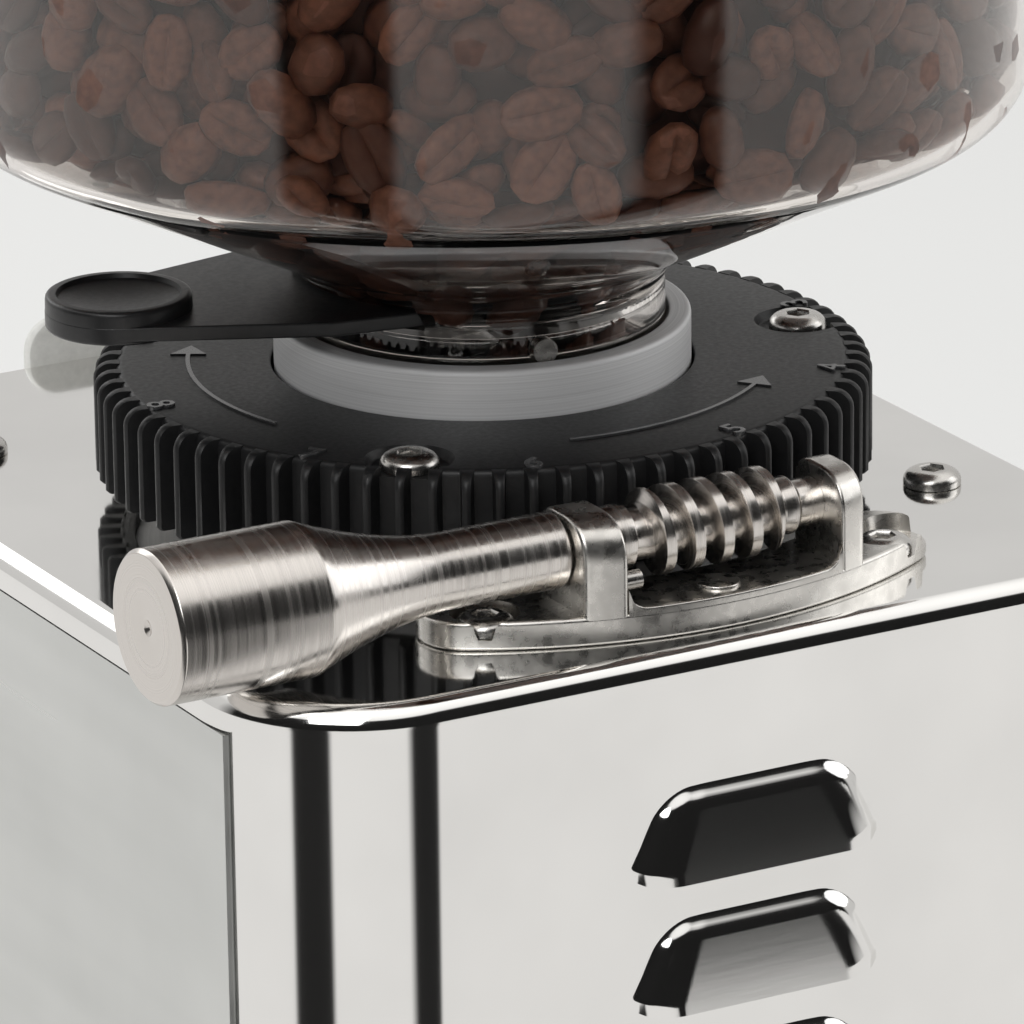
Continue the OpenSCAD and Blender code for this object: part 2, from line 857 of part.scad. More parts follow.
module worm_bracket() {
    color("#cfcdc6") placed()
        difference() {
            union() {
                translate([0, 0, plate_z]) linear_extrude(bracket_t) bracket_outline();
                for (l = lugs) translate([l[0], 0, plate_z])
                    rotate([90, 0, 90]) linear_extrude(l[1] - l[0]) lug_profile();
            }
            translate([-40, worm_y, worm_z]) rotate([0, 90, 0]) cylinder(r = journal_r + 0.05, h = 80);
            for (s = [-1, 1]) rotate([0, 0, s * bracket_screw_a]) {
                translate([0, bracket_screw_r, plate_z - 1]) cylinder(r = m5_r + 0.15, h = 8);
                translate([0, bracket_screw_r, plate_z + bracket_t - 2]) cylinder(r = 5.6, h = 8);
            }
            rotate([0, 0, bracket_screw_a + 4]) translate([0, bracket_screw_r, plate_z + bracket_t - 2])
                cylinder(r = 5.6, h = 8);
            translate([lugs[0][0] - 1, 71.5, plate_z + 8]) rotate([0, 90, 0]) cylinder(r = 1.5, h = 5);
        }
}

module bracket_screws() {
    color("#c4c2bc") placed()
        for (s = [-1, 1]) rotate([0, 0, s * bracket_screw_a])
            translate([0, bracket_screw_r, plate_z + bracket_t - 2]) button_screw(2.6);
}

module lock_screw() {
    color("#b9bcc0") placed()
        translate([lugs[0][0] - 4.5, 71.5, plate_z + 8]) rotate([0, 90, 0]) cylinder(r = 1.5, h = 8);
}

// Turned profile of the hand knob, neck and journals: radius against X.
knob_r = knob_d / 2;
neck_r = 6;
shoulder_x = 68.5;
cone_x = 44;
thread_x0 = -14;
thread_x1 = 10;
shaft_collar_x = 12.4;
shaft_collar_r = 5.2;
core_r = 3.2;
worm_r = worm_d / 2;
worm_root_r = worm_root_d / 2;

function cone_r(t) = neck_r + (knob_r - neck_r) * pow(t, 1.7);

shaft_points = concat(
    [[0, knob_end - 0.8], [1.2, knob_end], [knob_r - 0.8, knob_end], [knob_r, knob_end - 0.8]],
    [for (i = [10 : -1 : 0]) [cone_r(i / 10), cone_x + (shoulder_x - cone_x) * i / 10]],
    [[neck_r, lugs[0][1] + 0.9], [neck_r - 0.6, lugs[0][1] + 0.3], [journal_r, lugs[0][1] + 0.3]],
    [[journal_r, lugs[0][0] - 0.3], [shaft_collar_r, lugs[0][0] - 0.3], [shaft_collar_r, shaft_collar_x]],
    [[worm_root_r, shaft_collar_x], [worm_root_r, thread_x1], [core_r, thread_x1]],
    [[core_r, thread_x0], [journal_r, thread_x0], [journal_r, lugs[1][0] - 0.5], [0, lugs[1][0] - 0.5]]
);

module worm_shaft() {
    color("#bdbab4") placed()
        translate([0, worm_y, worm_z]) rotate([0, 90, 0]) rotate_extrude() polygon(shaft_points);
}

// Cross-section of a one-start thread: crest, two flanks and the root.
crest_a = 180 * worm_crest / lead;
flank_a = crest_a + 360 * (worm_r - worm_root_r) * tan(12) / lead;

function thread_r(a) =
    a < crest_a ? worm_r
    : a > flank_a ? worm_root_r
    : worm_r - (worm_r - worm_root_r) * (a - crest_a) / (flank_a - crest_a);

module worm_thread() {
    length = thread_x1 - thread_x0;
    start = -90 + 360 * thread_x0 / lead;
    color("#c9c6c0") placed()
        translate([thread_x0, worm_y, worm_z]) rotate([0, 90, 0]) rotate([0, 0, start])
            linear_extrude(length, twist = -360 * length / lead, slices = 90, $fn = 24)
                difference() {
                    polygon([for (a = [-180 : 12 : 168]) polar(thread_r(abs(a)), a)]);
                    circle(r = core_r, $fn = 24);
                }
}

// ---------- hopper ----------

neck_r_out = neck_d / 2;
bowl_round = 9;
cone_slope = 26;
bowl_wall_r = rim_r - 2;

// Profiles of the neck and the bowl above it, heights above the adjusting ring.
// The two meet in a glued joint at joint_z.
joint_z = 19;
joint_out_r = 33;
joint_in_r = 29.4;
cone_end_r = bowl_wall_r - bowl_round * (1 - sin(cone_slope)) - 0.5;
cone_end_z = 19.5 + (cone_end_r - 34) * tan(cone_slope);

function bowl_arc(r) = [
    for (i = [0 : 6])
        let (a = -90 + cone_slope + i * (90 - cone_slope) / 6)
        [bowl_wall_r - bowl_round + r * cos(a),
         cone_end_z + bowl_round * cos(cone_slope) + r * sin(a)]
];

neck_profile = [
    [neck_r_out, -8.4], [neck_r_out, 14], [30.4, 16.6], [joint_out_r, joint_z], [joint_in_r, joint_z],
    [28.4, 18], [27, 15], [27, 12.8], [22.2, 12.8], [22.2, 10.4], [27, 8], [27, -8.4]
];
bowl_profile = concat(
    [[joint_out_r, joint_z]],
    bowl_arc(bowl_round),
    [[rim_r, bowl_h], [rim_r - bowl_wall, bowl_h]],
    [for (i = [6 : -1 : 0]) bowl_arc(bowl_round - bowl_wall)[i]],
    [[32, 21.4], [joint_in_r, joint_z]]
);

module at_hopper_screw(r) {
    rotate([0, 0, 81]) translate([r, 0, gear_top + 9.2]) rotate([0, 90, 0]) children();
}

module hopper_neck() {
    color([0.75, 0.72, 0.7, 0.35]) placed()
        difference() {
            translate([0, 0, gear_top]) rotate_extrude() polygon(neck_profile);
            rotate([0, 0, gate_angle]) translate([0, -gate_half - 0.4, gate_z - 0.3])
                cube([60, 2 * gate_half + 0.8, 3.6]);
            at_hopper_screw(24) cylinder(r = 2, h = 10);
        }
}

module hopper_bowl() {
    color([0.75, 0.72, 0.7, 0.35]) placed()
        translate([0, 0, gear_top]) rotate_extrude() polygon(bowl_profile);
}

module hopper_screw() {
    color("#d9d7d2") placed()
        at_hopper_screw(26) cylinder(r = 2, h = 3.6);
}

module slide_gate() {
    wedge = asin((gate_half - gate_knob_r) / (gate_knob_x - 26));
    color("#1a1a1c") placed()
        rotate([0, 0, gate_angle]) {
            translate([0, 0, gate_z]) linear_extrude(gate_t) {
                circle(r = gate_half);
                translate([0, -gate_half]) square([26, 2 * gate_half]);
                polygon([
                    [26, 0], [26 + gate_half * sin(wedge), -gate_half * cos(wedge)],
                    [gate_knob_x + gate_knob_r * sin(wedge), -gate_knob_r * cos(wedge)],
                    [gate_knob_x + gate_knob_r * sin(wedge), gate_knob_r * cos(wedge)],
                    [26 + gate_half * sin(wedge), gate_half * cos(wedge)]
                ]);
                intersection() {
                    translate([26, 0]) circle(r = gate_half);
                    translate([25, -gate_half]) square([gate_half * sin(wedge) + 1.2, 2 * gate_half]);
                }
            }
            translate([gate_knob_x, 0, gate_z - 0.6]) difference() {
                cylinder(r = gate_knob_r, h = 5.4);
                translate([0, 0, 65 + 3.6]) sphere(r = 65);
            }
        }
}

module hopper_lid() {
    z = gear_top + bowl_h;
    color([0.75, 0.72, 0.7, 0.35]) placed()
        rotate_extrude() polygon([
            [0, z + 7.6], [40, z + 6.6], [70, z + 4], [rim_r + 0.5, z + 0.3],
            [lid_r, z + 0.3], [lid_r, z + 2.4], [rim_r - 1, z + 3.4],
            [70, z + 6.6], [40, z + 9.2], [0, z + 10.2]
        ]);
    color([0.75, 0.72, 0.7, 0.35]) placed() tube(rim_r - bowl_wall - 0.8, rim_r - bowl_wall - 2.8, z - 6, z + 2.6);
}

module lid_knob() {
    z = gear_top + bowl_h;
    color("#1a1a1c") placed()
        rotate_extrude() polygon([
            [0, z + 10.2], [9, z + 10.2], [8, z + 16], [12, z + 20], [13, z + 24], [11, z + 26], [0, z + 26]
        ]);
}

rubber_feet();
feet_screws();
base_plate();
drip_tray();
body_shell();
side_panel_right();
side_panel_left();
front_panel();
panel_screws();
front_hood();
coffee_chute();
spout();
portafilter_fork();
fork_screws();
activation_button();
button_spring();
microswitch();
switch_frame();
rocker();
mains_inlet();
inlet_pins();
grinding_chamber();
plate_screws();
preload_spring();
motor_upper_bell();
motor_lower_bell();
motor_bolts();
stator_core();
stator_windings();
rotor_core();
motor_shaft();
upper_bearing();
lower_bearing();
cooling_fan();
capacitor();
terminal_block();
lower_burr_carrier();
lower_burr();
lower_burr_screws();
carrier_nut();
upper_burr();
upper_burr_screws();
upper_burr_carrier();
adjusting_ring();
ring_screws();
worm_bracket();
bracket_screws();
lock_screw();
worm_shaft();
worm_thread();
hopper_neck();
hopper_bowl();
hopper_screw();
slide_gate();
hopper_lid();
lid_knob();
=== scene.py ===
"""Looks of an on-demand burr coffee grinder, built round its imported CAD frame.

Lengths are millimetres in the burr frame, x and y from the burr axis and z from the table.
They become metres in the CAD's own frame when a mesh is made.
"""
import json
import logging
import math
import random
from dataclasses import dataclass
from enum import Enum
from typing import Callable, Iterable, Sequence

import bmesh
import bpy
from mathutils import Euler, Matrix, Vector


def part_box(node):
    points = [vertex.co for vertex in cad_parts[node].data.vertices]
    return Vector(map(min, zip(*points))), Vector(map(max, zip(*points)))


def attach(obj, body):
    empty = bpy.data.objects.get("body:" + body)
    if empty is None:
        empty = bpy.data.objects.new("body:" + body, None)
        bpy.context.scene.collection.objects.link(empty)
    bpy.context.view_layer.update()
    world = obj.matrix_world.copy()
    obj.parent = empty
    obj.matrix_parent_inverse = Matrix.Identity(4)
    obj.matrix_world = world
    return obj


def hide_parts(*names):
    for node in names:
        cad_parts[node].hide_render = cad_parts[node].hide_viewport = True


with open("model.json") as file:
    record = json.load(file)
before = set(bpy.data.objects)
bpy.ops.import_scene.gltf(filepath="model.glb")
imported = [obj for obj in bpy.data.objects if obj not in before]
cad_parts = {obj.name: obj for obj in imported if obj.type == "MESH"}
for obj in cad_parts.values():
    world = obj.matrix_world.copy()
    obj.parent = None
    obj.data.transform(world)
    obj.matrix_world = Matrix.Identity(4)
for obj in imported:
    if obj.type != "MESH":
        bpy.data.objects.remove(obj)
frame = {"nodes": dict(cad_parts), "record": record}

LOG = logging.getLogger("grinder")
MM = 0.001
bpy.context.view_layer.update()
Outline = list[tuple[float, float]]


def read_layout() -> tuple[Vector, float, float]:
    """Find the burr axis and the two heights that everything hangs on.

    Returns:
        The burr axis on the table, the ring's top and the case's top, all in millimetres.
    """
    low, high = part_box("adjusting_ring")
    axis = Vector(((low[0] + high[0]) / 2, (low[1] + high[1]) / 2, 0)) / MM
    return axis, high[2] / MM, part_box("body_shell")[1][2] / MM


AXIS, RING_TOP, PLATE = read_layout()


class Body(Enum):
    """The rigid bodies that pieces ride on."""

    HOUSING = "housing"
    RING = "ring"
    WORM = "worm"
    GATE = "gate"
    LID = "lid"


# ---------------------------------------------------------------- materials


class Shader:
    """A small writer for one procedural material."""

    def __init__(self, name: str) -> None:
        """Start a material with a Principled shader.

        Args:
            name: The finish's name.
        """
        self.material = bpy.data.materials.new(name)
        self.material.use_nodes = True
        self.tree = self.material.node_tree
        self.surface = self.tree.nodes["Principled BSDF"]
        self.position = self.node("ShaderNodeTexCoord").outputs["Object"]

    def node(self, kind: str, **settings: object) -> bpy.types.Node:
        """Add a node.

        Args:
            kind: The node's type.
            settings: Properties to set on it.

        Returns:
            The new node.
        """
        made = self.tree.nodes.new(kind)
        for key, value in settings.items():
            setattr(made, key, value)
        return made

    def wire(self, source: bpy.types.NodeSocket, target: bpy.types.NodeSocket) -> None:
        """Join two sockets."""
        self.tree.links.new(source, target)

    def constant(self, **values: object) -> None:
        """Set the shader's own sockets; an underscore in a name stands for a space."""
        for key, value in values.items():
            self.surface.inputs[key.replace("_", " ")].default_value = value

    def noise(self, size: float, detail: float = 2.0,
              stretch: Sequence[float] = (1, 1, 1)) -> bpy.types.NodeSocket:
        """Add a noise pattern.

        Args:
            size: The size of its features in millimetres.
            detail: How many finer octaves it has.
            stretch: How much longer the features are along each axis.

        Returns:
            The noise, from 0 to 1.
        """
        mapping = self.node("ShaderNodeMapping")
        mapping.inputs["Scale"].default_value = [1 / s for s in stretch]
        self.wire(self.position, mapping.inputs["Vector"])
        noise = self.node("ShaderNodeTexNoise")
        noise.inputs["Scale"].default_value = 1 / (size * MM)
        noise.inputs["Detail"].default_value = detail
        self.wire(mapping.outputs["Vector"], noise.inputs["Vector"])
        return noise.outputs["Fac"]

    def rings(self, axis: str, centre: Vector, pitch: float) -> bpy.types.NodeSocket:
        """Add the fine rings that turning leaves, on walls and on end faces alike.

        Args:
            axis: The axis of turning, X, Y or Z.
            centre: A point on that axis in metres.
            pitch: The size of the rings in millimetres.

        Returns:
            The rings, from 0 to 1.
        """
        shifted = self.node("ShaderNodeMapping")
        shifted.inputs["Location"].default_value = -centre
        self.wire(self.position, shifted.inputs["Vector"])
        split = self.node("ShaderNodeSeparateXYZ")
        self.wire(shifted.outputs["Vector"], split.inputs["Vector"])
        across = self.node("ShaderNodeCombineXYZ")
        for other in "XYZ".replace(axis, ""):
            self.wire(split.outputs[other], across.inputs[other])
        radius = self.node("ShaderNodeVectorMath", operation="LENGTH")
        self.wire(across.outputs["Vector"], radius.inputs[0])
        total = self.node("ShaderNodeMath", operation="ADD")
        self.wire(radius.outputs["Value"], total.inputs[0])
        self.wire(split.outputs[axis], total.inputs[1])
        noise = self.node("ShaderNodeTexNoise", noise_dimensions="1D")
        noise.inputs["Scale"].default_value = 1 / (pitch * MM)
        noise.inputs["Detail"].default_value = 3
        self.wire(total.outputs["Value"], noise.inputs["W"])
        return noise.outputs["Fac"]

    def spread(self, source: bpy.types.NodeSocket, low: float, high: float) -> bpy.types.NodeSocket:
        """Stretch the middle of a 0 to 1 pattern over a new range.

        Args:
            source: The pattern.
            low: The value for the pattern's dark parts.
            high: The value for its bright parts.

        Returns:
            The new pattern.
        """
        spread = self.node("ShaderNodeMapRange")
        spread.inputs["From Min"].default_value = 0.3
        spread.inputs["From Max"].default_value = 0.7
        spread.inputs["To Min"].default_value = low
        spread.inputs["To Max"].default_value = high
        self.wire(source, spread.inputs["Value"])
        return spread.outputs["Result"]

    def blend(self, factor: bpy.types.NodeSocket, dark: Sequence[float], light: Sequence[float]) -> None:
        """Vary the base colour between two colours.

        Args:
            factor: The pattern that chooses between them.
            dark: The colour at 0.
            light: The colour at 1.
        """
        mix = self.node("ShaderNodeMix", data_type="RGBA")
        colours = [s for s in mix.inputs if s.type == "RGBA"]
        colours[0].default_value = (*dark, 1)
        colours[1].default_value = (*light, 1)
        self.wire(factor, mix.inputs["Factor"])
        result = [s for s in mix.outputs if s.type == "RGBA"][0]
        self.wire(result, self.surface.inputs["Base Color"])

    def rough(self, source: bpy.types.NodeSocket, low: float, high: float) -> None:
        """Vary the roughness with a pattern."""
        self.wire(self.spread(source, low, high), self.surface.inputs["Roughness"])

    def bump(self, *layers: tuple[bpy.types.NodeSocket, float]) -> None:
        """Stack bumps.

        Args:
            layers: Pairs of a pattern and its depth in millimetres.
        """
        last = None
        for height, depth in layers:
            bump = self.node("ShaderNodeBump")
            bump.inputs["Strength"].default_value = 1.0
            bump.inputs["Distance"].default_value = depth * MM
            self.wire(height, bump.inputs["Height"])
            if last is not None:
                self.wire(last, bump.inputs["Normal"])
            last = bump.outputs["Normal"]
        self.wire(last, self.surface.inputs["Normal"])


@dataclass(frozen=True)
class Sheet:
    """Rolled or polished sheet metal: long faint brush lines and slight unevenness."""

    name: str
    colour: tuple[float, float, float]
    roughness: float
    brushing: float
    along: tuple[float, float, float] = (1, 1, 60)
    waviness: float = 0.0

    def build(self) -> bpy.types.Material:
        """Make the material."""
        shader = Shader(self.name)
        shader.constant(Metallic=1.0)
        lines = shader.noise(0.35, 3, self.along)
        clouds = shader.noise(30, 3)
        dark = tuple(c * 0.93 for c in self.colour)
        shader.blend(shader.spread(clouds, 0, 1), dark, self.colour)
        shader.rough(shader.noise(9, 4, self.along), self.roughness * 0.8, self.roughness * 1.25)
        shader.bump((shader.noise(45, 1), self.waviness), (lines, self.brushing))
        return shader.material


@dataclass(frozen=True)
class Turned:
    """Metal turned on a lathe."""

    name: str
    colour: tuple[float, float, float]
    roughness: float
    axis: str
    centre: tuple[float, float, float]
    groove: float = 0.004
    pitch: float = 0.22
    metallic: float = 1.0

    def build(self) -> bpy.types.Material:
        """Make the material."""
        shader = Shader(self.name)
        shader.constant(Metallic=self.metallic)
        centre = Vector(self.centre) * MM
        fine = shader.rings(self.axis, centre, self.pitch)
        broad = shader.rings(self.axis, centre, self.pitch * 9)
        dark = tuple(c * 0.86 for c in self.colour)
        shader.blend(shader.spread(fine, 0, 1), dark, self.colour)
        shader.rough(broad, self.roughness * 0.8, self.roughness * 1.3)
        shader.bump((fine, self.groove))
        return shader.material


@dataclass(frozen=True)
class CastMetal:
    """Cast or blasted metal, plated or bare."""

    name: str
    colour: tuple[float, float, float]
    roughness: float
    grain: float
    depth: float
    metallic: float = 1.0

    def build(self) -> bpy.types.Material:
        """Make the material."""
        shader = Shader(self.name)
        shader.constant(Metallic=self.metallic)
        grain = shader.noise(self.grain, 3)
        clouds = shader.noise(self.grain * 12, 3)
        dark = tuple(c * 0.84 for c in self.colour)
        shader.blend(shader.spread(clouds, 0, 1), dark, self.colour)
        shader.rough(shader.noise(self.grain * 5, 3), self.roughness * 0.8, self.roughness * 1.3)
        shader.bump((grain, self.depth))
        return shader.material


@dataclass(frozen=True)
class Moulding:
    """Opaque plastic or rubber with a spark-eroded grain and faint handling marks."""

    name: str
    colour: tuple[float, float, float]
    roughness: float
    grain: float
    depth: float
    shine: float = 0.5

    def build(self) -> bpy.types.Material:
        """Make the material."""
        shader = Shader(self.name)
        shader.constant(Specular_IOR_Level=self.shine)
        dusty = tuple(min(1.0, c * 1.12 + 0.0015) for c in self.colour)
        shader.blend(shader.spread(shader.noise(1.2, 4), 0, 1), self.colour, dusty)
        shader.rough(shader.noise(0.9, 4), self.roughness * 0.9, self.roughness * 1.12)
        shader.bump((shader.noise(self.grain, 2), self.depth))
        return shader.material


@dataclass(frozen=True)
class ClearPlastic:
    """Clear moulded plastic with a slight smoky tint and faint flow marks."""

    name: str
    colour: tuple[float, float, float]
    roughness: float

    def build(self) -> bpy.types.Material:
        """Make the material."""
        shader = Shader(self.name)
        shader.constant(Transmission_Weight=1.0, IOR=1.49)
        dark = tuple(c * 0.93 for c in self.colour)
        shader.blend(shader.spread(shader.noise(25, 2), 0, 1), dark, self.colour)
        shader.rough(shader.noise(16, 3), self.roughness * 0.5, self.roughness * 1.6)
        shader.bump((shader.noise(18, 1, (1, 1, 3)), 0.05))
        return shader.material


@dataclass(frozen=True)
class Roast:
    """The skin of roasted coffee beans, each bean a little lighter or darker."""

    name: str
    dark: tuple[float, float, float]
    light: tuple[float, float, float]

    def build(self) -> bpy.types.Material:
        """Make the material."""
        shader = Shader(self.name)
        shader.constant(Specular_IOR_Level=0.45)
        tone = shader.node("ShaderNodeAttribute", attribute_name="tone")
        mottle = shader.noise(1.6, 4)
        mixed = shader.node("ShaderNodeMath", operation="MULTIPLY")
        shader.wire(tone.outputs["Fac"], mixed.inputs[0])
        shader.wire(shader.spread(mottle, 0.55, 1.3), mixed.inputs[1])
        shader.blend(mixed.outputs["Value"], self.dark, self.light)
        shader.rough(shader.noise(2.5, 3), 0.36, 0.6)
        shader.bump((shader.noise(2.2, 3, (3, 1, 1)), 0.16), (shader.noise(0.5, 2), 0.012))
        return shader.material


WORM_AXIS_Z = RING_TOP - 9.0
WORM_AXIS_Y = 66.75
BURR_CENTRE = (AXIS.x, AXIS.y, 0.0)
WORM_CENTRE = (AXIS.x, AXIS.y + WORM_AXIS_Y, WORM_AXIS_Z)

FINISHES: dict[str, object] = {
    "foot_rubber": Moulding("foot_rubber", (0.02, 0.02, 0.021), 0.75, 0.6, 0.03, 0.3),
    "zinc_screw": CastMetal("zinc_screw", (0.60, 0.585, 0.56), 0.24, 0.25, 0.003),
    "cast_base": CastMetal("cast_base", (0.60, 0.61, 0.61), 0.38, 0.5, 0.012),
    "black_plastic": Moulding("black_plastic", (0.018, 0.018, 0.019), 0.5, 0.35, 0.012),
    "polished_steel": Sheet("polished_steel", (0.84, 0.835, 0.82), 0.075, 0.0008, (60, 1, 60), 0.02),
    "satin_panel": Sheet("satin_panel", (0.66, 0.67, 0.655), 0.33, 0.003, (1, 60, 1), 0.01),
    "pale_hood": Moulding("pale_hood", (0.72, 0.72, 0.69), 0.35, 0.4, 0.006, 0.5),
    "spout_alloy": Turned("spout_alloy", (0.66, 0.67, 0.68), 0.3, "Z", (AXIS.x, AXIS.y - 119, 0)),
    "satin_steel": Sheet("satin_steel", (0.64, 0.64, 0.63), 0.26, 0.003, (1, 40, 1), 0.0),
    "rocker_red": Moulding("rocker_red", (0.38, 0.02, 0.015), 0.18, 0.8, 0.004, 0.6),
    "contact_brass": CastMetal("contact_brass", (0.78, 0.6, 0.28), 0.22, 0.4, 0.004),
    "chamber_alloy": CastMetal("chamber_alloy", (0.6, 0.6, 0.61), 0.36, 0.6, 0.015),
    "spring_steel": Turned("spring_steel", (0.42, 0.43, 0.45), 0.28, "Z", BURR_CENTRE),
    "lamination": Turned("lamination", (0.2, 0.21, 0.22), 0.42, "Z", BURR_CENTRE, 0.03, 0.7),
    "winding_copper": Turned("winding_copper", (0.62, 0.27, 0.12), 0.3, "Z", BURR_CENTRE, 0.05, 1.0),
    "ground_steel": Turned("ground_steel", (0.66, 0.66, 0.67), 0.16, "Z", BURR_CENTRE),
    "capacitor_case": Moulding("capacitor_case", (0.7, 0.7, 0.66), 0.3, 0.8, 0.006),
    "terminal_plastic": Moulding("terminal_plastic", (0.68, 0.65, 0.56), 0.45, 0.5, 0.01),
    "burr_steel": Turned("burr_steel", (0.33, 0.34, 0.36), 0.24, "Z", BURR_CENTRE),
    "turned_aluminium": Turned(
        "turned_aluminium", (0.74, 0.74, 0.745), 0.45, "Z", BURR_CENTRE, 0.001, 0.3, 0.45),
    "ring_black": Moulding("ring_black", (0.0075, 0.0075, 0.008), 0.45, 0.28, 0.016, 0.4),
    "nickel_bracket": CastMetal("nickel_bracket", (0.72, 0.70, 0.665), 0.27, 0.4, 0.005),
    "turned_steel": Turned("turned_steel", (0.72, 0.685, 0.65), 0.23, "X", WORM_CENTRE, 0.0005, 0.14),
    "smoke_clear": ClearPlastic("smoke_clear", (0.86, 0.83, 0.80), 0.02),
    "gate_black": Moulding("gate_black", (0.010, 0.010, 0.0105), 0.36, 0.5, 0.008, 0.5),
    "roast_beans": Roast("roast_beans", (0.09, 0.032, 0.02), (0.34, 0.14, 0.085)),
    "marking_black": Moulding("marking_black", (0.03, 0.03, 0.031), 0.18, 0.6, 0.003, 0.8),
}
MATERIALS: dict[str, bpy.types.Material] = {}


def finish(slot: str) -> bpy.types.Material:
    """Return a finish's material, making it the first time.

    Args:
        slot: The finish's name.

    Returns:
        The material.
    """
    if slot not in MATERIALS:
        MATERIALS[slot] = FINISHES[slot].build()
    return MATERIALS[slot]


# ---------------------------------------------------------------- mesh tools


def to_frame(point: Sequence[float]) -> Vector:
    """Turn a burr-frame point in millimetres into the CAD frame in metres."""
    return Vector((point[0] + AXIS.x, point[1] + AXIS.y, point[2])) * MM


def mark_creases(bm: bmesh.types.BMesh, angle: float) -> None:
    """Shade smooth, with a sharp edge wherever two faces meet at more than an angle.

    Args:
        bm: The mesh.
        angle: The angle in degrees.
    """
    limit = math.radians(angle)
    for face in bm.faces:
        face.smooth = True
    for edge in bm.edges:
        edge.smooth = len(edge.link_faces) == 2 and edge.calc_face_angle(0) < limit


def mesh_object(name: str, points: Iterable[Sequence[float]], faces: Iterable[Sequence[int]],
                crease: float = 32.0, placed: bool = True) -> bpy.types.Object:
    """Make an object from points and faces, merged, with its normals outwards.

    Args:
        name: The piece's name.
        points: Its points in millimetres.
        faces: Its faces, as indices.
        crease: The angle over which an edge is sharp, in degrees.
        placed: Whether the points are in the burr frame, not round their own origin.

    Returns:
        The new object.
    """
    bm = bmesh.new()
    for point in points:
        bm.verts.new(to_frame(point) if placed else Vector(point) * MM)
    bm.verts.ensure_lookup_table()
    for face in faces:
        bm.faces.new([bm.verts[i] for i in face])
    bmesh.ops.remove_doubles(bm, verts=bm.verts, dist=1e-6)
    bmesh.ops.dissolve_degenerate(bm, edges=bm.edges, dist=1e-7)
    bmesh.ops.recalc_face_normals(bm, faces=bm.faces)
    mark_creases(bm, crease)
    mesh = bpy.data.meshes.new(name)
    bm.to_mesh(mesh)
    bm.free()
    made = bpy.data.objects.new(name, mesh)
    bpy.context.scene.collection.objects.link(made)
    return made


def bake(obj: bpy.types.Object) -> bpy.types.Object:
    """Apply every modifier by taking the evaluated mesh."""
    depsgraph = bpy.context.evaluated_depsgraph_get()
    mesh = bpy.data.meshes.new_from_object(
        obj.evaluated_get(depsgraph), preserve_all_data_layers=True, depsgraph=depsgraph
    )
    obj.modifiers.clear()
    obj.data = mesh
    return obj


def recrease(obj: bpy.types.Object, angle: float = 32.0, weld: float = 0.001) -> bpy.types.Object:
    """Merge doubles and set the sharp edges again after modifiers."""
    bm = bmesh.new()
    bm.from_mesh(obj.data)
    bmesh.ops.remove_doubles(bm, verts=bm.verts, dist=weld * MM)
    mark_creases(bm, angle)
    bm.to_mesh(obj.data)
    bm.free()
    return obj


def weigh(obj: bpy.types.Object) -> bpy.types.Object:
    """Let large flat faces keep their own normals beside small rounded edges."""
    modifier = obj.modifiers.new("weigh", "WEIGHTED_NORMAL")
    modifier.keep_sharp = True
    modifier.weight = 100
    return bake(obj)


def bevelled(obj: bpy.types.Object, width: float, segments: int = 3, angle: float = 35.0) -> bpy.types.Object:
    """Round the sharp edges.

    Args:
        obj: The object.
        width: The bevel's width in millimetres.
        segments: Its steps.
        angle: The angle over which an edge is rounded, in degrees.

    Returns:
        The same object.
    """
    modifier = obj.modifiers.new("round", "BEVEL")
    modifier.width = width * MM
    modifier.segments = segments
    modifier.limit_method = "ANGLE"
    modifier.angle_limit = math.radians(angle)
    modifier.use_clamp_overlap = True
    bake(obj)
    recrease(obj, 40)
    return weigh(obj)


def cut(obj: bpy.types.Object, *cutters: bpy.types.Object, crease: float = 32.0) -> bpy.types.Object:
    """Cut shapes out of an object and drop them.

    Args:
        obj: The object.
        cutters: Closed shapes to take away.
        crease: The angle over which an edge is sharp, in degrees.

    Returns:
        The same object.
    """
    for cutter in cutters:
        modifier = obj.modifiers.new("cut", "BOOLEAN")
        modifier.operation = "DIFFERENCE"
        modifier.solver = "EXACT"
        modifier.object = cutter
        bake(obj)
        bpy.data.objects.remove(cutter)
    return recrease(obj, crease)


def joined(name: str, parts: Sequence[bpy.types.Object]) -> bpy.types.Object:
    """Put several closed shells into one object.

    Args:
        name: The new object's name.
        parts: The objects, which are dropped.

    Returns:
        The joined object.
    """
    bpy.ops.object.select_all(action="DESELECT")
    for part in parts:
        part.select_set(True)
    bpy.context.view_layer.objects.active = parts[0]
    bpy.ops.object.join()
    parts[0].name = name
    parts[0].data.name = name
    return parts[0]


def rounded(points: Sequence[Sequence[float]], radius: float, closed: bool = True, steps: int = 4) -> Outline:
    """Round the corners of an outline.

    Args:
        points: Corners, each with an optional radius of its own.
        radius: The radius of the others.
        closed: Whether the outline is a loop.
        steps: Points on each rounded corner.

    Returns:
        The rounded outline.
    """
    out: Outline = []
    count = len(points)
    for i, corner in enumerate(points):
        here = Vector(corner[:2])
        size = corner[2] if len(corner) > 2 else radius
        if size <= 0 or (not closed and i in (0, count - 1)):
            out.append((here.x, here.y))
            continue
        back = Vector(points[i - 1][:2]) - here
        ahead = Vector(points[(i + 1) % count][:2]) - here
        angle = back.angle(ahead, math.pi)
        if angle > math.radians(172):
            out.append((here.x, here.y))
            continue
        trim = min(size / math.tan(angle / 2), 0.48 * back.length, 0.48 * ahead.length)
        start = here + back.normalized() * trim
        end = here + ahead.normalized() * trim
        for k in range(steps + 1):
            t = k / steps
            spot = start * (1 - t) ** 2 + here * (2 * t * (1 - t)) + end * t ** 2
            out.append((spot.x, spot.y))
    return out


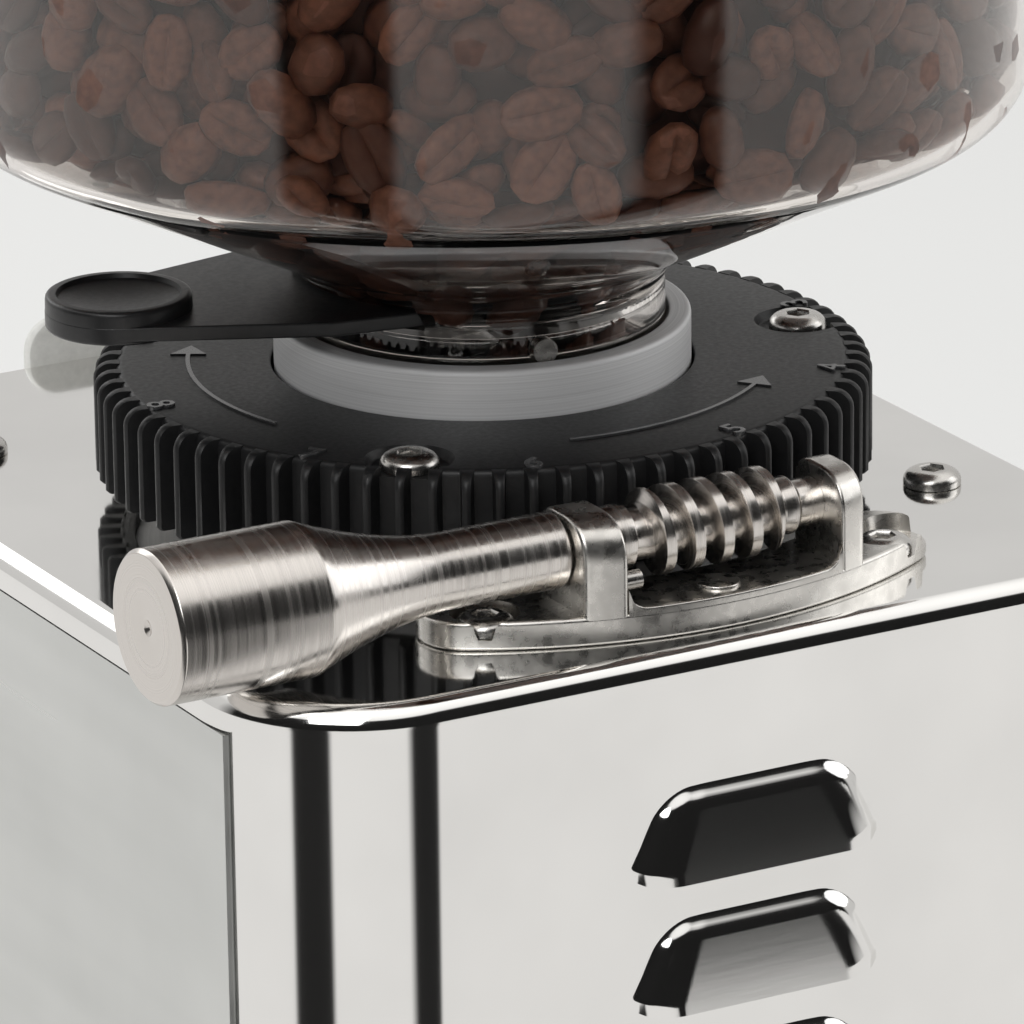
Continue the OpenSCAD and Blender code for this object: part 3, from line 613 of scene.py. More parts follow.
def lathe(name: str, profile: Outline, steps: int = 160, axis: str = "Z",
          centre: Sequence[float] = (0, 0, 0), crease: float = 32.0, placed: bool = True) -> bpy.types.Object:
    """Turn a profile round an axis.

    Args:
        name: The piece's name.
        profile: Pairs of radius and height; a loop, or a line whose ends lie on the axis.
        steps: Steps round the axis.
        axis: Z for upright, X for lying from left to right, Y for lying from front to back.
        centre: The profile's zero point.
        crease: The angle over which an edge is sharp, in degrees.
        placed: Whether it is in the burr frame.

    Returns:
        The turned object.
    """
    points = []
    for k in range(steps):
        a = 2 * math.pi * k / steps
        for radius, height in profile:
            u, v = radius * math.cos(a), radius * math.sin(a)
            local = {"Z": (u, v, height), "X": (height, u, v), "Y": (v, height, u)}[axis]
            points.append([c + d for c, d in zip(centre, local)])
    count = len(profile)
    faces = []
    for k in range(steps):
        after = (k + 1) % steps
        for i in range(count):
            j = (i + 1) % count
            if profile[i][0] < 1e-6 and profile[j][0] < 1e-6:
                continue
            faces.append((k * count + i, after * count + i, after * count + j, k * count + j))
    return mesh_object(name, points, faces, crease, placed)


def stack(name: str, rows: Sequence[Sequence[Sequence[float]]], crease: float = 32.0,
          placed: bool = True) -> bpy.types.Object:
    """Skin a pile of closed rows that have the same number of points, with both ends capped.

    Args:
        name: The piece's name.
        rows: The rows, each a closed loop of points in millimetres.
        crease: The angle over which an edge is sharp, in degrees.
        placed: Whether the points are in the burr frame.

    Returns:
        The skinned object.
    """
    count = len(rows[0])
    points = [p for row in rows for p in row]
    faces = []
    for r in range(len(rows) - 1):
        for i in range(count):
            j = (i + 1) % count
            faces.append((r * count + i, r * count + j, (r + 1) * count + j, (r + 1) * count + i))
    faces.append(tuple(range(count - 1, -1, -1)))
    faces.append(tuple((len(rows) - 1) * count + i for i in range(count)))
    return mesh_object(name, points, faces, crease, placed)


def prism(name: str, outline: Outline, low: float, high: float, crease: float = 32.0) -> bpy.types.Object:
    """Raise a flat outline between two heights."""
    return stack(name, [[(x, y, z) for x, y in outline] for z in (low, high)], crease)


def block(low: Sequence[float], high: Sequence[float], name: str = "block") -> bpy.types.Object:
    """Make a box, for cutting with."""
    outline = [(low[0], low[1]), (high[0], low[1]), (high[0], high[1]), (low[0], high[1])]
    return prism(name, outline, low[2], high[2])


def ease(share: float) -> float:
    """Rise smoothly from 0 to 1, level at both ends, as its argument does."""
    t = min(1.0, max(0.0, share))
    return t * t * (3 - 2 * t)


def arc(radius: float, start: float, end: float, steps: int, centre: tuple[float, float] = (0, 0)) -> Outline:
    """Return points on an arc, with angles in degrees."""
    angles = [math.radians(start + (end - start) * k / steps) for k in range(steps + 1)]
    return [(centre[0] + radius * math.cos(a), centre[1] + radius * math.sin(a)) for a in angles]


def settle(obj: bpy.types.Object, body: Body, slot: str, replaces: Sequence[str] = ()) -> bpy.types.Object:
    """Finish a piece: its material, its body, its slot and what it stands for.

    Args:
        obj: The piece.
        body: The body it rides on.
        slot: Its finish.
        replaces: The CAD nodes it stands for.

    Returns:
        The piece.
    """
    obj.data.materials.clear()
    obj.data.materials.append(finish(slot))
    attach(obj, body.value)
    if replaces:
        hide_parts(*replaces)
    LOG.info("%s on %s in %s, %d faces", obj.name, body.value, slot, len(obj.data.polygons))
    return obj


# ---------------------------------------------------------------- geometry nodes


@dataclass(frozen=True)
class Spot:
    """One place for a repeated item, in the burr frame in millimetres."""

    at: tuple[float, float, float]
    turn: tuple[float, float, float] = (0.0, 0.0, 0.0)
    grow: tuple[float, float, float] = (1.0, 1.0, 1.0)


class Repeater:
    """A Geometry Nodes tree that sets an item on every point of a mesh."""

    def __init__(self) -> None:
        """Build the tree, with named inputs."""
        self.tree = bpy.data.node_groups.new("set_on_points", "GeometryNodeTree")
        faces = self.tree.interface
        faces.new_socket("Points", in_out="INPUT", socket_type="NodeSocketGeometry")
        self.item = faces.new_socket("Item", in_out="INPUT", socket_type="NodeSocketObject")
        self.finish = faces.new_socket("Finish", in_out="INPUT", socket_type="NodeSocketMaterial")
        self.seed = faces.new_socket("Seed", in_out="INPUT", socket_type="NodeSocketInt")
        faces.new_socket("Pieces", in_out="OUTPUT", socket_type="NodeSocketGeometry")
        given = self._node("NodeGroupInput")
        result = self._node("NodeGroupOutput")
        item = self._node("GeometryNodeObjectInfo", transform_space="ORIGINAL")
        item.inputs["As Instance"].default_value = True
        turn = self._node("GeometryNodeInputNamedAttribute", data_type="FLOAT_VECTOR")
        turn.inputs["Name"].default_value = "turn"
        grow = self._node("GeometryNodeInputNamedAttribute", data_type="FLOAT_VECTOR")
        grow.inputs["Name"].default_value = "grow"
        to_turn = self._node("FunctionNodeEulerToRotation")
        setter = self._node("GeometryNodeInstanceOnPoints")
        tone = self._node("FunctionNodeRandomValue", data_type="FLOAT")
        store = self._node("GeometryNodeStoreNamedAttribute", data_type="FLOAT", domain="INSTANCE")
        store.inputs["Name"].default_value = "tone"
        real = self._node("GeometryNodeRealizeInstances")
        paint = self._node("GeometryNodeSetMaterial")
        self._wire(given.outputs["Points"], setter.inputs["Points"])
        self._wire(given.outputs["Item"], item.inputs["Object"])
        self._wire(item.outputs["Geometry"], setter.inputs["Instance"])
        self._wire(turn.outputs["Attribute"], to_turn.inputs["Euler"])
        self._wire(to_turn.outputs["Rotation"], setter.inputs["Rotation"])
        self._wire(grow.outputs["Attribute"], setter.inputs["Scale"])
        self._wire(given.outputs["Seed"], tone.inputs["Seed"])
        self._wire(setter.outputs["Instances"], store.inputs["Geometry"])
        value = [s for s in tone.outputs if s.type == "VALUE"][0]
        self._wire(value, store.inputs["Value"])
        self._wire(store.outputs["Geometry"], real.inputs["Geometry"])
        self._wire(real.outputs["Geometry"], paint.inputs["Geometry"])
        self._wire(given.outputs["Finish"], paint.inputs["Material"])
        self._wire(paint.outputs["Geometry"], result.inputs["Pieces"])

    def _node(self, kind: str, **settings: object) -> bpy.types.Node:
        """Add a node with some settings."""
        made = self.tree.nodes.new(kind)
        for key, value in settings.items():
            setattr(made, key, value)
        return made

    def _wire(self, source: bpy.types.NodeSocket, target: bpy.types.NodeSocket) -> None:
        """Join two sockets."""
        self.tree.links.new(source, target)

    def spread(self, name: str, item: bpy.types.Object, spots: Sequence[Spot], slot: str,
               seed: int = 0, keep_item: bool = False) -> bpy.types.Object:
        """Set an item on every spot and turn the result into a plain mesh.

        Args:
            name: The new piece's name.
            item: The item, round its own origin.
            spots: Where it goes.
            slot: The finish.
            seed: The seed of each item's own tone.
            keep_item: Whether the item is used again.

        Returns:
            The finished mesh object.
        """
        mesh = bpy.data.meshes.new(name)
        mesh.from_pydata([to_frame(s.at) for s in spots], [], [])
        for key, kind in (("turn", "turn"), ("grow", "grow")):
            layer = mesh.attributes.new(key, "FLOAT_VECTOR", "POINT")
            layer.data.foreach_set("vector", [c for s in spots for c in getattr(s, kind)])
        made = bpy.data.objects.new(name, mesh)
        bpy.context.scene.collection.objects.link(made)
        modifier = made.modifiers.new("set_on_points", "NODES")
        modifier.node_group = self.tree
        modifier[self.item.identifier] = item
        modifier[self.finish.identifier] = finish(slot)
        modifier[self.seed.identifier] = seed
        bake(made)
        if not keep_item:
            bpy.data.objects.remove(item)
        return made


# ---------------------------------------------------------------- sub-assemblies


@dataclass
class ButtonScrew:
    """A button-head screw with a hexagon socket, its seat at its own origin."""

    head_r: float = 4.7
    head_h: float = 2.7
    socket_r: float = 1.9
    socket_h: float = 1.7

    def build(self) -> bpy.types.Object:
        """Make the screw."""
        flat = 2.3
        dome = [(0.0, self.head_h)] + [
            (flat + (self.head_r - flat) * math.sin(a), self.head_h * (0.3 + 0.7 * math.cos(a)))
            for a in [math.radians(9 * k) for k in range(11)]]
        profile = dome + [(self.head_r, 0.15), (self.head_r - 0.2, 0.0), (2.4, 0.0), (2.4, -3.0), (0.0, -3.0)]
        head = lathe("button_screw", profile, 40, placed=False, crease=40)
        hexagon = [(self.socket_r * math.cos(math.radians(60 * k)),
                    self.socket_r * math.sin(math.radians(60 * k)))
                   for k in range(6)]
        rows = [[(x * s, y * s, z) for x, y in hexagon]
                for s, z in ((1, self.head_h - self.socket_h), (1, self.head_h - 0.35),
                             (1.25, self.head_h + 0.2))]
        return cut(head, stack("socket", rows, placed=False), crease=40)


@dataclass
class AdjustingRing:
    """The black toothed ring, its numerals, arrows, collar and screws."""

    tip_r: float = 62.5
    root_r: float = 58.8
    teeth: int = 75
    thick: float = 17.0
    shoulder: float = 2.6
    gap_root: float = 2.9
    gap_tip: float = 3.9
    bore_r: float = 34.0
    recess_r: float = 56.5
    web: float = 7.0
    collar_r: float = 33.5
    collar_bore: float = 29.9
    collar_rise: float = 7.8
    screw_r: float = 53.7
    sink_r: float = 7.0
    sink: float = 1.5
    screw_angles: tuple[float, ...] = (49.0, 169.0, 289.0)
    number_r: float = 56.6
    number_h: float = 4.4
    number_start: float = 105.0
    number_step: float = -36.0

    def tooth(self) -> bpy.types.Object:
        """Make one tooth pointing along +X from its own origin, with rounded top and tip."""
        step = 2 * math.pi / self.teeth
        root = (step * self.root_r - self.gap_root) / 2
        tip = (step * self.tip_r - self.gap_tip) / 2
        rows = []
        levels = [(self.tip_r - 0.5, 0.0), (self.tip_r, 0.5)]
        for k in range(7):
            a = math.radians(15 * k)
            levels.append((self.tip_r - self.shoulder * (1 - math.cos(a)),
                           self.thick - self.shoulder * (1 - math.sin(a))))
        for reach, height in levels:
            share = (reach - self.root_r) / (self.tip_r - self.root_r)
            half = root + (tip - root) * share
            inner = self.root_r - 0.6
            outline = [(inner, -root - 0.15), (self.root_r + 0.25, -root), (reach - 0.35, -half),
                       (reach - 0.08, -half + 0.3), (reach, 0.0), (reach - 0.08, half - 0.3),
                       (reach - 0.35, half), (self.root_r + 0.25, root), (inner, root + 0.15)]
            rows.append([(x, y, height) for x, y in outline])
        return stack("tooth", rows, 40, placed=False)

    def body(self) -> bpy.types.Object:
        """Make the ring without its teeth, with the sunk screw seats."""
        low = RING_TOP - self.thick
        edge = self.root_r
        profile = rounded([
            (self.bore_r, RING_TOP, 0.5), (edge, RING_TOP, 1.2), (edge, low, 0.3), (self.recess_r, low, 0.3),
            (self.recess_r, RING_TOP - self.web, 0), (self.bore_r, RING_TOP - self.web, 0)
        ], 0.3)
        ring = lathe("adjusting_ring_core", profile, 300)
        seats = []
        for angle in self.screw_angles:
            x = self.screw_r * math.cos(math.radians(angle))
            y = self.screw_r * math.sin(math.radians(angle))
            seat = rounded([(0, RING_TOP - self.sink, 0), (self.sink_r - 0.6, RING_TOP - self.sink, 0.6),
                            (self.sink_r + 0.3, RING_TOP + 0.5, 0), (0, RING_TOP + 0.5, 0)], 0, True)
            seats.append(lathe("seat", seat, 48, centre=(x, y, 0)))
        return cut(ring, *seats)

    def numeral(self, digit: int, angle: float) -> bpy.types.Object:
        """Make one raised numeral whose foot points to the rim.

        Args:
            digit: The number.
            angle: Its place round the ring in degrees.

        Returns:
            The numeral as a mesh object.
        """
        text = bpy.data.curves.new("numeral", "FONT")
        text.body = str(digit)
        text.size = self.number_h / 0.7 * MM
        text.extrude = 0.3 * MM
        text.bevel_depth = 0.09 * MM
        text.align_x = "CENTER"
        text.align_y = "CENTER"
        shaped = bpy.data.objects.new("numeral", text)
        bpy.context.scene.collection.objects.link(shaped)
        depsgraph = bpy.context.evaluated_depsgraph_get()
        mesh = bpy.data.meshes.new_from_object(shaped.evaluated_get(depsgraph))
        bpy.data.objects.remove(shaped)
        a = math.radians(angle)
        across = Vector((-math.sin(a), math.cos(a), 0))
        up = Vector((-math.cos(a), -math.sin(a), 0))
        spot = to_frame((self.number_r * math.cos(a), self.number_r * math.sin(a), RING_TOP + 0.02))
        matrix = Matrix((across, up, Vector((0, 0, 1)))).transposed().to_4x4()
        mesh.transform(Matrix.Translation(spot) @ matrix)
        made = bpy.data.objects.new("numeral", mesh)
        bpy.context.scene.collection.objects.link(made)
        return made

    def arrow(self, radius: float, start: float, end: float) -> bpy.types.Object:
        """Make a raised curved arrow on the ring.

        Args:
            radius: Its radius.
            start: The tail's angle in degrees.
            end: The point's angle in degrees.

        Returns:
            The arrow.
        """
        sign = 1 if end > start else -1
        neck = end - sign * 5.4
        line = arc(radius + 0.35, start, neck, 24)
        back = arc(radius - 0.35, neck, start, 24)
        head = [(radius + 2.9, neck), (radius, end), (radius - 2.9, neck)]
        tip = [(r * math.cos(math.radians(a)), r * math.sin(math.radians(a))) for r, a in head]
        return prism("arrow", line + tip + back, RING_TOP - 0.1, RING_TOP + 0.28)

    def build(self, repeater: Repeater) -> None:
        """Make and settle the ring's pieces.

        Args:
            repeater: The tree that sets the teeth and screws.
        """
        low = RING_TOP - self.thick
        step = 2 * math.pi / self.teeth
        spots = [Spot((0, 0, low), (0, 0, math.pi / 2 + (k + 0.5) * step)) for k in range(self.teeth)]
        teeth = repeater.spread("ring_teeth", self.tooth(), spots, "ring_black")
        ring = joined("toothed_ring", [self.body(), teeth])
        settle(ring, Body.RING, "ring_black", ["adjusting_ring"])
        marks = [self.numeral(n, self.number_start + self.number_step * (n - 5)) for n in range(10)]
        marks.append(self.arrow(46.6, 78, 134))
        marks.append(self.arrow(47.3, 18, -36))
        marks.append(self.arrow(46.6, 198, 254))
        settle(joined("ring_marks", marks), Body.RING, "marking_black", ())
        collar = lathe("burr_carrier_collar", self.collar_profile(), 256)
        settle(collar, Body.RING, "turned_aluminium", ["upper_burr_carrier"])
        places = [Spot((self.screw_r * math.cos(math.radians(a)), self.screw_r * math.sin(math.radians(a)),
                        RING_TOP - self.sink), (0, 0, math.radians(a + 12))) for a in self.screw_angles]
        screws = repeater.spread("ring_button_screws", ButtonScrew().build(), places, "zinc_screw")
        settle(screws, Body.RING, "zinc_screw", ["ring_screws"])

    def collar_profile(self) -> Outline:
        """Return the carrier's section: eye, throat, collar, flange and barrel."""
        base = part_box("upper_burr_carrier")[0][2] / MM
        top = RING_TOP + self.collar_rise
        return rounded([
            (19, base, 0.3), (19, base + 5, 1), (26, base + 17, 2), (26, RING_TOP - 8.4, 0.2),
            (self.collar_bore, RING_TOP - 8.4, 0), (self.collar_bore, top, 0.5), (self.collar_r, top, 0.9),
            (self.collar_r, RING_TOP - self.web, 0.3), (56.4, RING_TOP - self.web, 0.3),
            (56.4, RING_TOP - 15, 0.3), (42, RING_TOP - 15, 0.2), (42, base, 0.5)
        ], 0.3)


@dataclass
class WormDrive:
    """The hand knob, worm, bracket and its screws."""

    knob_r: float = 12.0
    knob_start: float = 68.5
    knob_end: float = 94.0
    cone_start: float = 44.0
    neck_r: float = 6.0
    journal_r: float = 3.75
    lug_right: tuple[float, float] = (17.2, 23.9)
    lug_left: tuple[float, float] = (-26.3, -21.5)
    thread: tuple[float, float] = (-14.0, 10.0)
    worm_r: float = 6.95
    root_r: float = 4.1
    crest: float = 1.8
    pitch_r: float = 60.9
    teeth: int = 75
    lug_y: tuple[float, float] = (61.1, 75.6)
    lug_rise: float = 6.1
    base_t: float = 4.7
    base_out: float = 79.0
    base_in: float = 63.0
    base_half: float = 31.0
    screw_r: float = 73.8
    screw_a: float = 28.8

    def shaft(self) -> bpy.types.Object:
        """Make the turned knob, its waisted neck and the journals."""
        right, left = self.lug_right, self.lug_left
        profile: list[Sequence[float]] = [
            (0, self.knob_end - 0.75), (0.5, self.knob_end - 0.7), (1.3, self.knob_end - 0.15, 0.3),
            (2.2, self.knob_end, 0), (self.knob_r - 0.7, self.knob_end, 0.35),
            (self.knob_r, self.knob_end - 0.7, 0.35)
        ]
        profile.append((self.knob_r, self.knob_start + 0.4, 0.2))
        for k in range(14, -1, -1):
            t = k / 14
            radius = self.neck_r + (self.knob_r - self.neck_r) * t ** 1.7
            profile.append((radius, self.cone_start + (self.knob_start - self.cone_start) * t, 0))
        profile += [
            (self.neck_r, right[1] + 0.9, 0.2), (self.neck_r - 0.6, right[1] + 0.3, 0.2),
            (self.journal_r, right[1] + 0.3, 0.2), (self.journal_r, right[0] - 0.3, 0.2),
            (5.2, right[0] - 0.3, 0.3), (5.2, self.thread[1] + 2.5, 0.3), (4.1, self.thread[1] + 2.4, 0.2),
            (4.05, self.thread[1] - 0.5, 0), (4.05, self.thread[0] + 0.5, 0),
            (4.4, self.thread[0] - 0.4, 0.2), (self.journal_r + 0.9, self.thread[0] - 2.6, 0.3),
            (self.journal_r, self.thread[0] - 3.4, 0.2), (self.journal_r, left[0] + 0.2, 0.4),
            (0, left[0] + 0.2)
        ]
        outline = rounded(profile, 0, closed=False, steps=3)
        return lathe("knob_and_shaft", outline, 128, "X", (0, WORM_AXIS_Y, WORM_AXIS_Z), 24)

    def worm(self) -> bpy.types.Object:
        """Make the single-start thread, one ridge facing a gap of the ring."""
        lead = 2 * math.pi * self.pitch_r / self.teeth
        crest = 180 * self.crest / lead
        flank = crest + 360 * (self.worm_r - self.root_r) * math.tan(math.radians(12)) / lead
        section = [(-flank, self.root_r), (-crest - 2, self.worm_r - 0.12), (-crest + 2, self.worm_r)]
        section += [(-crest + 2 + (2 * crest - 4) * k / 10, self.worm_r) for k in range(1, 10)]
        section += [(crest - 2, self.worm_r), (crest + 2, self.worm_r - 0.12), (flank, self.root_r)]
        open_arc = 360 - 2 * flank
        section += [(flank + open_arc * k / 14, self.root_r) for k in range(1, 14)]
        start, end = self.thread
        rows = []
        steps = 168
        for k in range(steps + 1):
            x = start + (end - start) * k / steps
            fade = min(1.0, (x - start + 0.4) / 1.8, (end - x + 0.4) / 1.8)
            row = []
            for angle, radius in section:
                a = math.radians(angle - 90 + 360 * x / lead)
                size = self.root_r + (radius - self.root_r) * fade
                row.append((x, WORM_AXIS_Y + size * math.sin(a), WORM_AXIS_Z - size * math.cos(a)))
            rows.append(row)
        return stack("worm_ridge", rows, 24)

    def lug(self, span: tuple[float, float]) -> bpy.types.Object:
        """Make one bearing lug: its outer face lies on the base's arc, its top is rounded.

        Args:
            span: Its reach along the worm's axis.

        Returns:
            The lug.
        """
        low = PLATE + self.base_t - 1.2
        top = WORM_AXIS_Z + self.lug_rise
        inner = self.lug_y[0]
        rows = []
        for k in range(9):
            x = span[0] + (span[1] - span[0]) * k / 8
            outer = math.sqrt((self.base_out - 0.05) ** 2 - x * x)
            side = rounded([(inner, low, 0), (outer, low, 0), (outer, top, 7.5), (inner, top, 4.5)],
                           0, True, 10)
            rows.append([(x, y, z) for y, z in side])
        made = bevelled(stack("lug", rows, 30), 0.6, 3, 50)
        hole = [(0, span[0] - 3), (self.journal_r + 0.05, span[0] - 3), (self.journal_r + 0.05, span[1] + 3),
                (0, span[1] + 3)]
        return cut(made, lathe("bearing_hole", hole, 64, "X", (0, WORM_AXIS_Y, WORM_AXIS_Z)), crease=38)

    def rim(self, start: float, end: float, bulk: float) -> bpy.types.Object:
        """Make the base's raised outer rim between two places, curving up into the lugs there.

        Args:
            start: Where it starts along the worm's axis.
            end: Where it ends.
            bulk: Its thickness across.

        Returns:
            The rim.
        """
        top = PLATE + self.base_t
        fillet = 3.2
        rows = []
        for k in range(49):
            x = start + (end - start) * k / 48
            gap = max(0.0, min(x - start, end - x))
            climb = fillet - math.sqrt(fillet ** 2 - (fillet - gap) ** 2) if gap < fillet else 0.0
            outer = math.sqrt((self.base_out - 0.06) ** 2 - x * x)
            height = top + 0.7 + climb
            side = rounded([(outer - bulk, top - 1, 0), (outer, top - 1, 0), (outer, height, 0.35),
                            (outer - bulk, height, 0.35)], 0, True, 3)
            rows.append([(x, y, z) for y, z in side])
        return stack("bracket_rim", rows, 40)

    def base_outline(self) -> Outline:
        """Return the base's outline, an arc-shaped bar round the burr axis."""
        mid = (self.base_out + self.base_in) / 2
        end = (self.base_out - self.base_in) / 2
        left, right = 90 + self.base_half, 90 - self.base_half
        outline = arc(self.base_out, right, left, 40)
        for side, base in ((left, 0), (right, 180)):
            a = math.radians(side)
            centre = (mid * math.cos(a), mid * math.sin(a))
            outline += arc(end, side + base + 12, side + base + 168, 12, centre)
            if side == left:
                outline += arc(self.base_in, left, right, 36)
        return outline

    def bracket(self) -> bpy.types.Object:
        """Make the plated bracket: base bar, raised rim, boss and two lugs."""
        top = PLATE + self.base_t
        base = bevelled(prism("bracket_base", self.base_outline(), PLATE, top), 0.7, 3, 50)
        cutters = []
        for sign in (-1, 1):
            for turn in (0.0, 4.0) if sign > 0 else (0.0,):
                a = math.radians(90 + sign * self.screw_a + turn)
                spot = (self.screw_r * math.cos(a), self.screw_r * math.sin(a), 0)
                sink = [(0, top - 2.9), (5.3, top - 2.9), (5.6, top + 1), (0, top + 1)]
                cutters.append(lathe("screw_sink", sink, 48, centre=spot))
        cut(base, *cutters, crease=38)
        weigh(base)
        right, left = self.lug_right, self.lug_left
        trough = self.rim(left[1], right[0], 1.5)
        boss = lathe("bracket_boss",
                     rounded([(0, top + 0.5), (3.4, top + 0.5), (3.7, top - 1), (0, top - 1)], 0.2),
                     40, centre=(-1.7, 71.6, 0))
        parts = [base, trough, boss, self.lug(right), self.lug(left)]
        return joined("worm_carrier_bracket", parts)

    def build(self, repeater: Repeater) -> None:
        """Make and settle the drive's pieces.

        Args:
            repeater: The tree that sets the screws.
        """
        settle(self.shaft(), Body.WORM, "turned_steel", ["worm_shaft"])
        settle(self.worm(), Body.WORM, "turned_steel", ["worm_thread"])
        settle(self.bracket(), Body.HOUSING, "nickel_bracket", ["worm_bracket"])
        spots = []
        for sign in (-1, 1):
            a = math.radians(90 + sign * self.screw_a)
            spots.append(Spot((self.screw_r * math.cos(a), self.screw_r * math.sin(a),
                               PLATE + self.base_t - 2.9),
                              (0, 0, 0.4 * sign)))
        screws = repeater.spread("bracket_button_screws", ButtonScrew().build(), spots, "zinc_screw")
        settle(screws, Body.HOUSING, "zinc_screw", ["bracket_screws"])


@dataclass
class Hopper:
    """The clear bowl with its gate, lid and coffee beans."""

    rim_r: float = 89.5
    rise: float = 150.0
    wall: float = 2.2
    neck_r: float = 29.4
    bowl_round: float = 9.0
    slope: float = 26.0
    gate_angle: float = -8.0
    gate_rise: float = 13.25
    gate_t: float = 2.4
    gate_half: float = 22.6
    knob_r: float = 11.7
    knob_x: float = 61.0
    fill: float = 104.0

    def corner(self, radius: float) -> Outline:
        """Return the rounded turn from cone to wall, at a radius about its own centre."""
        wall_r = self.rim_r - 2
        start_r = wall_r - self.bowl_round * (1 - math.sin(math.radians(self.slope))) - 0.5
        start_z = 19.5 + (start_r - 34) * math.tan(math.radians(self.slope))
        centre = (wall_r - self.bowl_round, start_z + self.bowl_round * math.cos(math.radians(self.slope)))
        return arc(radius, -90 + self.slope, 0, 14, centre)

    def inner(self) -> Outline:
        """Return the inside of the bowl from the neck to the rim, heights above the ring."""
        return [(27, 15), (28.4, 18), (32, 21.4)] + self.corner(self.bowl_round - self.wall) \
            + [(self.rim_r - self.wall, self.rise)]

    def bowl(self) -> bpy.types.Object:
        """Make the bowl with its neck and the gate's slot."""
        outside = rounded([(self.neck_r, -8.4, 0.2), (self.neck_r, 14, 3), (30.4, 16.6, 3), (33, 19, 5),
                           (36.5, 21, 5), (40, 22.6, 0)], 0, False)
        outside += self.corner(self.bowl_round)
        outside += [(self.rim_r, self.rise - 0.5), (self.rim_r - 0.5, self.rise)]
        inside = [(self.rim_r - self.wall + 0.4, self.rise), (self.rim_r - self.wall, self.rise - 0.4)]
        inside += list(reversed(self.corner(self.bowl_round - self.wall)))
        inside += rounded([(36, 23.4, 0), (32, 21.4, 5), (28.4, 18, 4), (27, 15, 2), (27, 12.8, 0),
                           (22.2, 12.8, 0.3), (22.2, 10.4, 0.3), (27, 8, 1), (27, -8.4, 0.2)], 0, False)
        profile = [(r, z + RING_TOP) for r, z in outside + inside]
        bowl = lathe("clear_bowl", profile, 192, crease=40)
        a = math.radians(self.gate_angle)
        low, high = RING_TOP + self.gate_rise - 0.3, RING_TOP + self.gate_rise + 3.3
        half = self.gate_half + 0.4
        corners = [(0, -half), (60, -half), (60, half), (0, half)]
        turned = [(x * math.cos(a) - y * math.sin(a), x * math.sin(a) + y * math.cos(a)) for x, y in corners]
        return cut(bowl, prism("gate_slot", turned, low, high), crease=40)

    def gate(self) -> bpy.types.Object:
        """Make the gate: a thin tongue and a thick round dished grip."""
        run = self.knob_x - 26
        lean = math.asin((self.gate_half - self.knob_r) / run)
        near, far = self.gate_half, self.knob_r
        lean_deg = math.degrees(lean)
        outline = arc(near, 90, 270, 36)
        outline += [(26 + near * math.sin(lean), -near * math.cos(lean))]
        outline += arc(far, -90 + lean_deg, 90 - lean_deg, 28, (self.knob_x, 0))
        outline += [(26 + near * math.sin(lean), near * math.cos(lean))]
        low = RING_TOP + self.gate_rise
        tongue = bevelled(prism("gate_tongue", self.turned(outline), low, low + self.gate_t), 0.35, 3, 50)
        grip = [(0, low + 1.0)]
        grip += [(r, low + 3.0 + 1.1 * (r / 9.6) ** 2) for r in [0.96 * k for k in range(0, 11)]]
        grip += rounded([(9.9, low + 4.8, 0.4), (far - 0.1, low + 4.8, 0.9), (far, low - 0.6, 0.6),
                         (0, low - 0.6)],
                        0, False)
        a = math.radians(self.gate_angle)
        spot = (self.knob_x * math.cos(a), self.knob_x * math.sin(a), 0)
        knob = lathe("gate_grip", grip[1:], 96, centre=spot, crease=40)
        return joined("sliding_gate", [tongue, knob])

    def turned(self, outline: Outline) -> Outline:
        """Turn an outline drawn along +X to the gate's own direction."""
        a = math.radians(self.gate_angle)
        return [(x * math.cos(a) - y * math.sin(a), x * math.sin(a) + y * math.cos(a)) for x, y in outline]

    def lid(self) -> bpy.types.Object:
        """Make the shallow domed lid with its skirt."""
        z = RING_TOP + self.rise
        rim = self.rim_r + 1
        skirt = self.rim_r - self.wall - 0.8
        profile = rounded([
            (0, z + 7.6), (40, z + 6.6, 40), (70, z + 4, 20), (skirt - 2, z + 1.6, 1),
            (skirt - 2, z - 6, 0.6),
            (skirt, z - 6, 0.6), (skirt, z + 0.4, 0.2), (rim, z + 0.3, 0.4), (rim, z + 2.4, 0.6),
            (rim - 2, z + 3.4, 1.5), (70, z + 6.6, 20), (40, z + 9.2, 40), (0, z + 10.2)
        ], 0, False, 5)
        return lathe("clear_lid", profile, 192, crease=40)

    def lid_knob(self) -> bpy.types.Object:
        """Make the lid's waisted knob."""
        z = RING_TOP + self.rise
        profile = rounded([(0, z + 10.2), (9, z + 10.2, 0.5), (8, z + 16, 4), (12.4, z + 20, 2.5),
                           (13, z + 24, 2), (10.5, z + 26, 1.5), (0, z + 25.4)], 0, False, 6)
        return lathe("waisted_lid_knob", profile, 96, crease=40)

    def bean(self) -> bpy.types.Object:
        """Make one coffee bean: domed back, flat face and a crease along it."""
        around = [math.radians(a) for a in (0, 45, 90, 135, 180, 220, 254, 270, 286, 320)]
        rows = 6
        points = [(6.0, 0, -0.3)]
        for k in range(1, rows):
            a = math.pi * k / rows
            x, size = 6.0 * math.cos(a), math.sin(a) ** 0.85
            for turn in around:
                y, z = 4.3 * size * math.cos(turn), math.sin(turn) * size
                z = z * 3.4 if z > 0 else z * 1.8 + 1.3 * math.exp(-(y / 0.7) ** 2) * size
                points.append((x, y, z))
        points.append((-6.0, 0, -0.3))
        count = len(around)
        faces = [(0, 1 + (i + 1) % count, 1 + i) for i in range(count)]
        for k in range(rows - 2):
            near, far = 1 + k * count, 1 + (k + 1) * count
            for i in range(count):
                j = (i + 1) % count
                faces.append((near + i, near + j, far + j, far + i))
        last = len(points) - 1
        base = 1 + (rows - 2) * count
        faces += [(last, base + i, base + (i + 1) % count) for i in range(count)]
        return mesh_object("coffee_bean", points, faces, 75, placed=False)

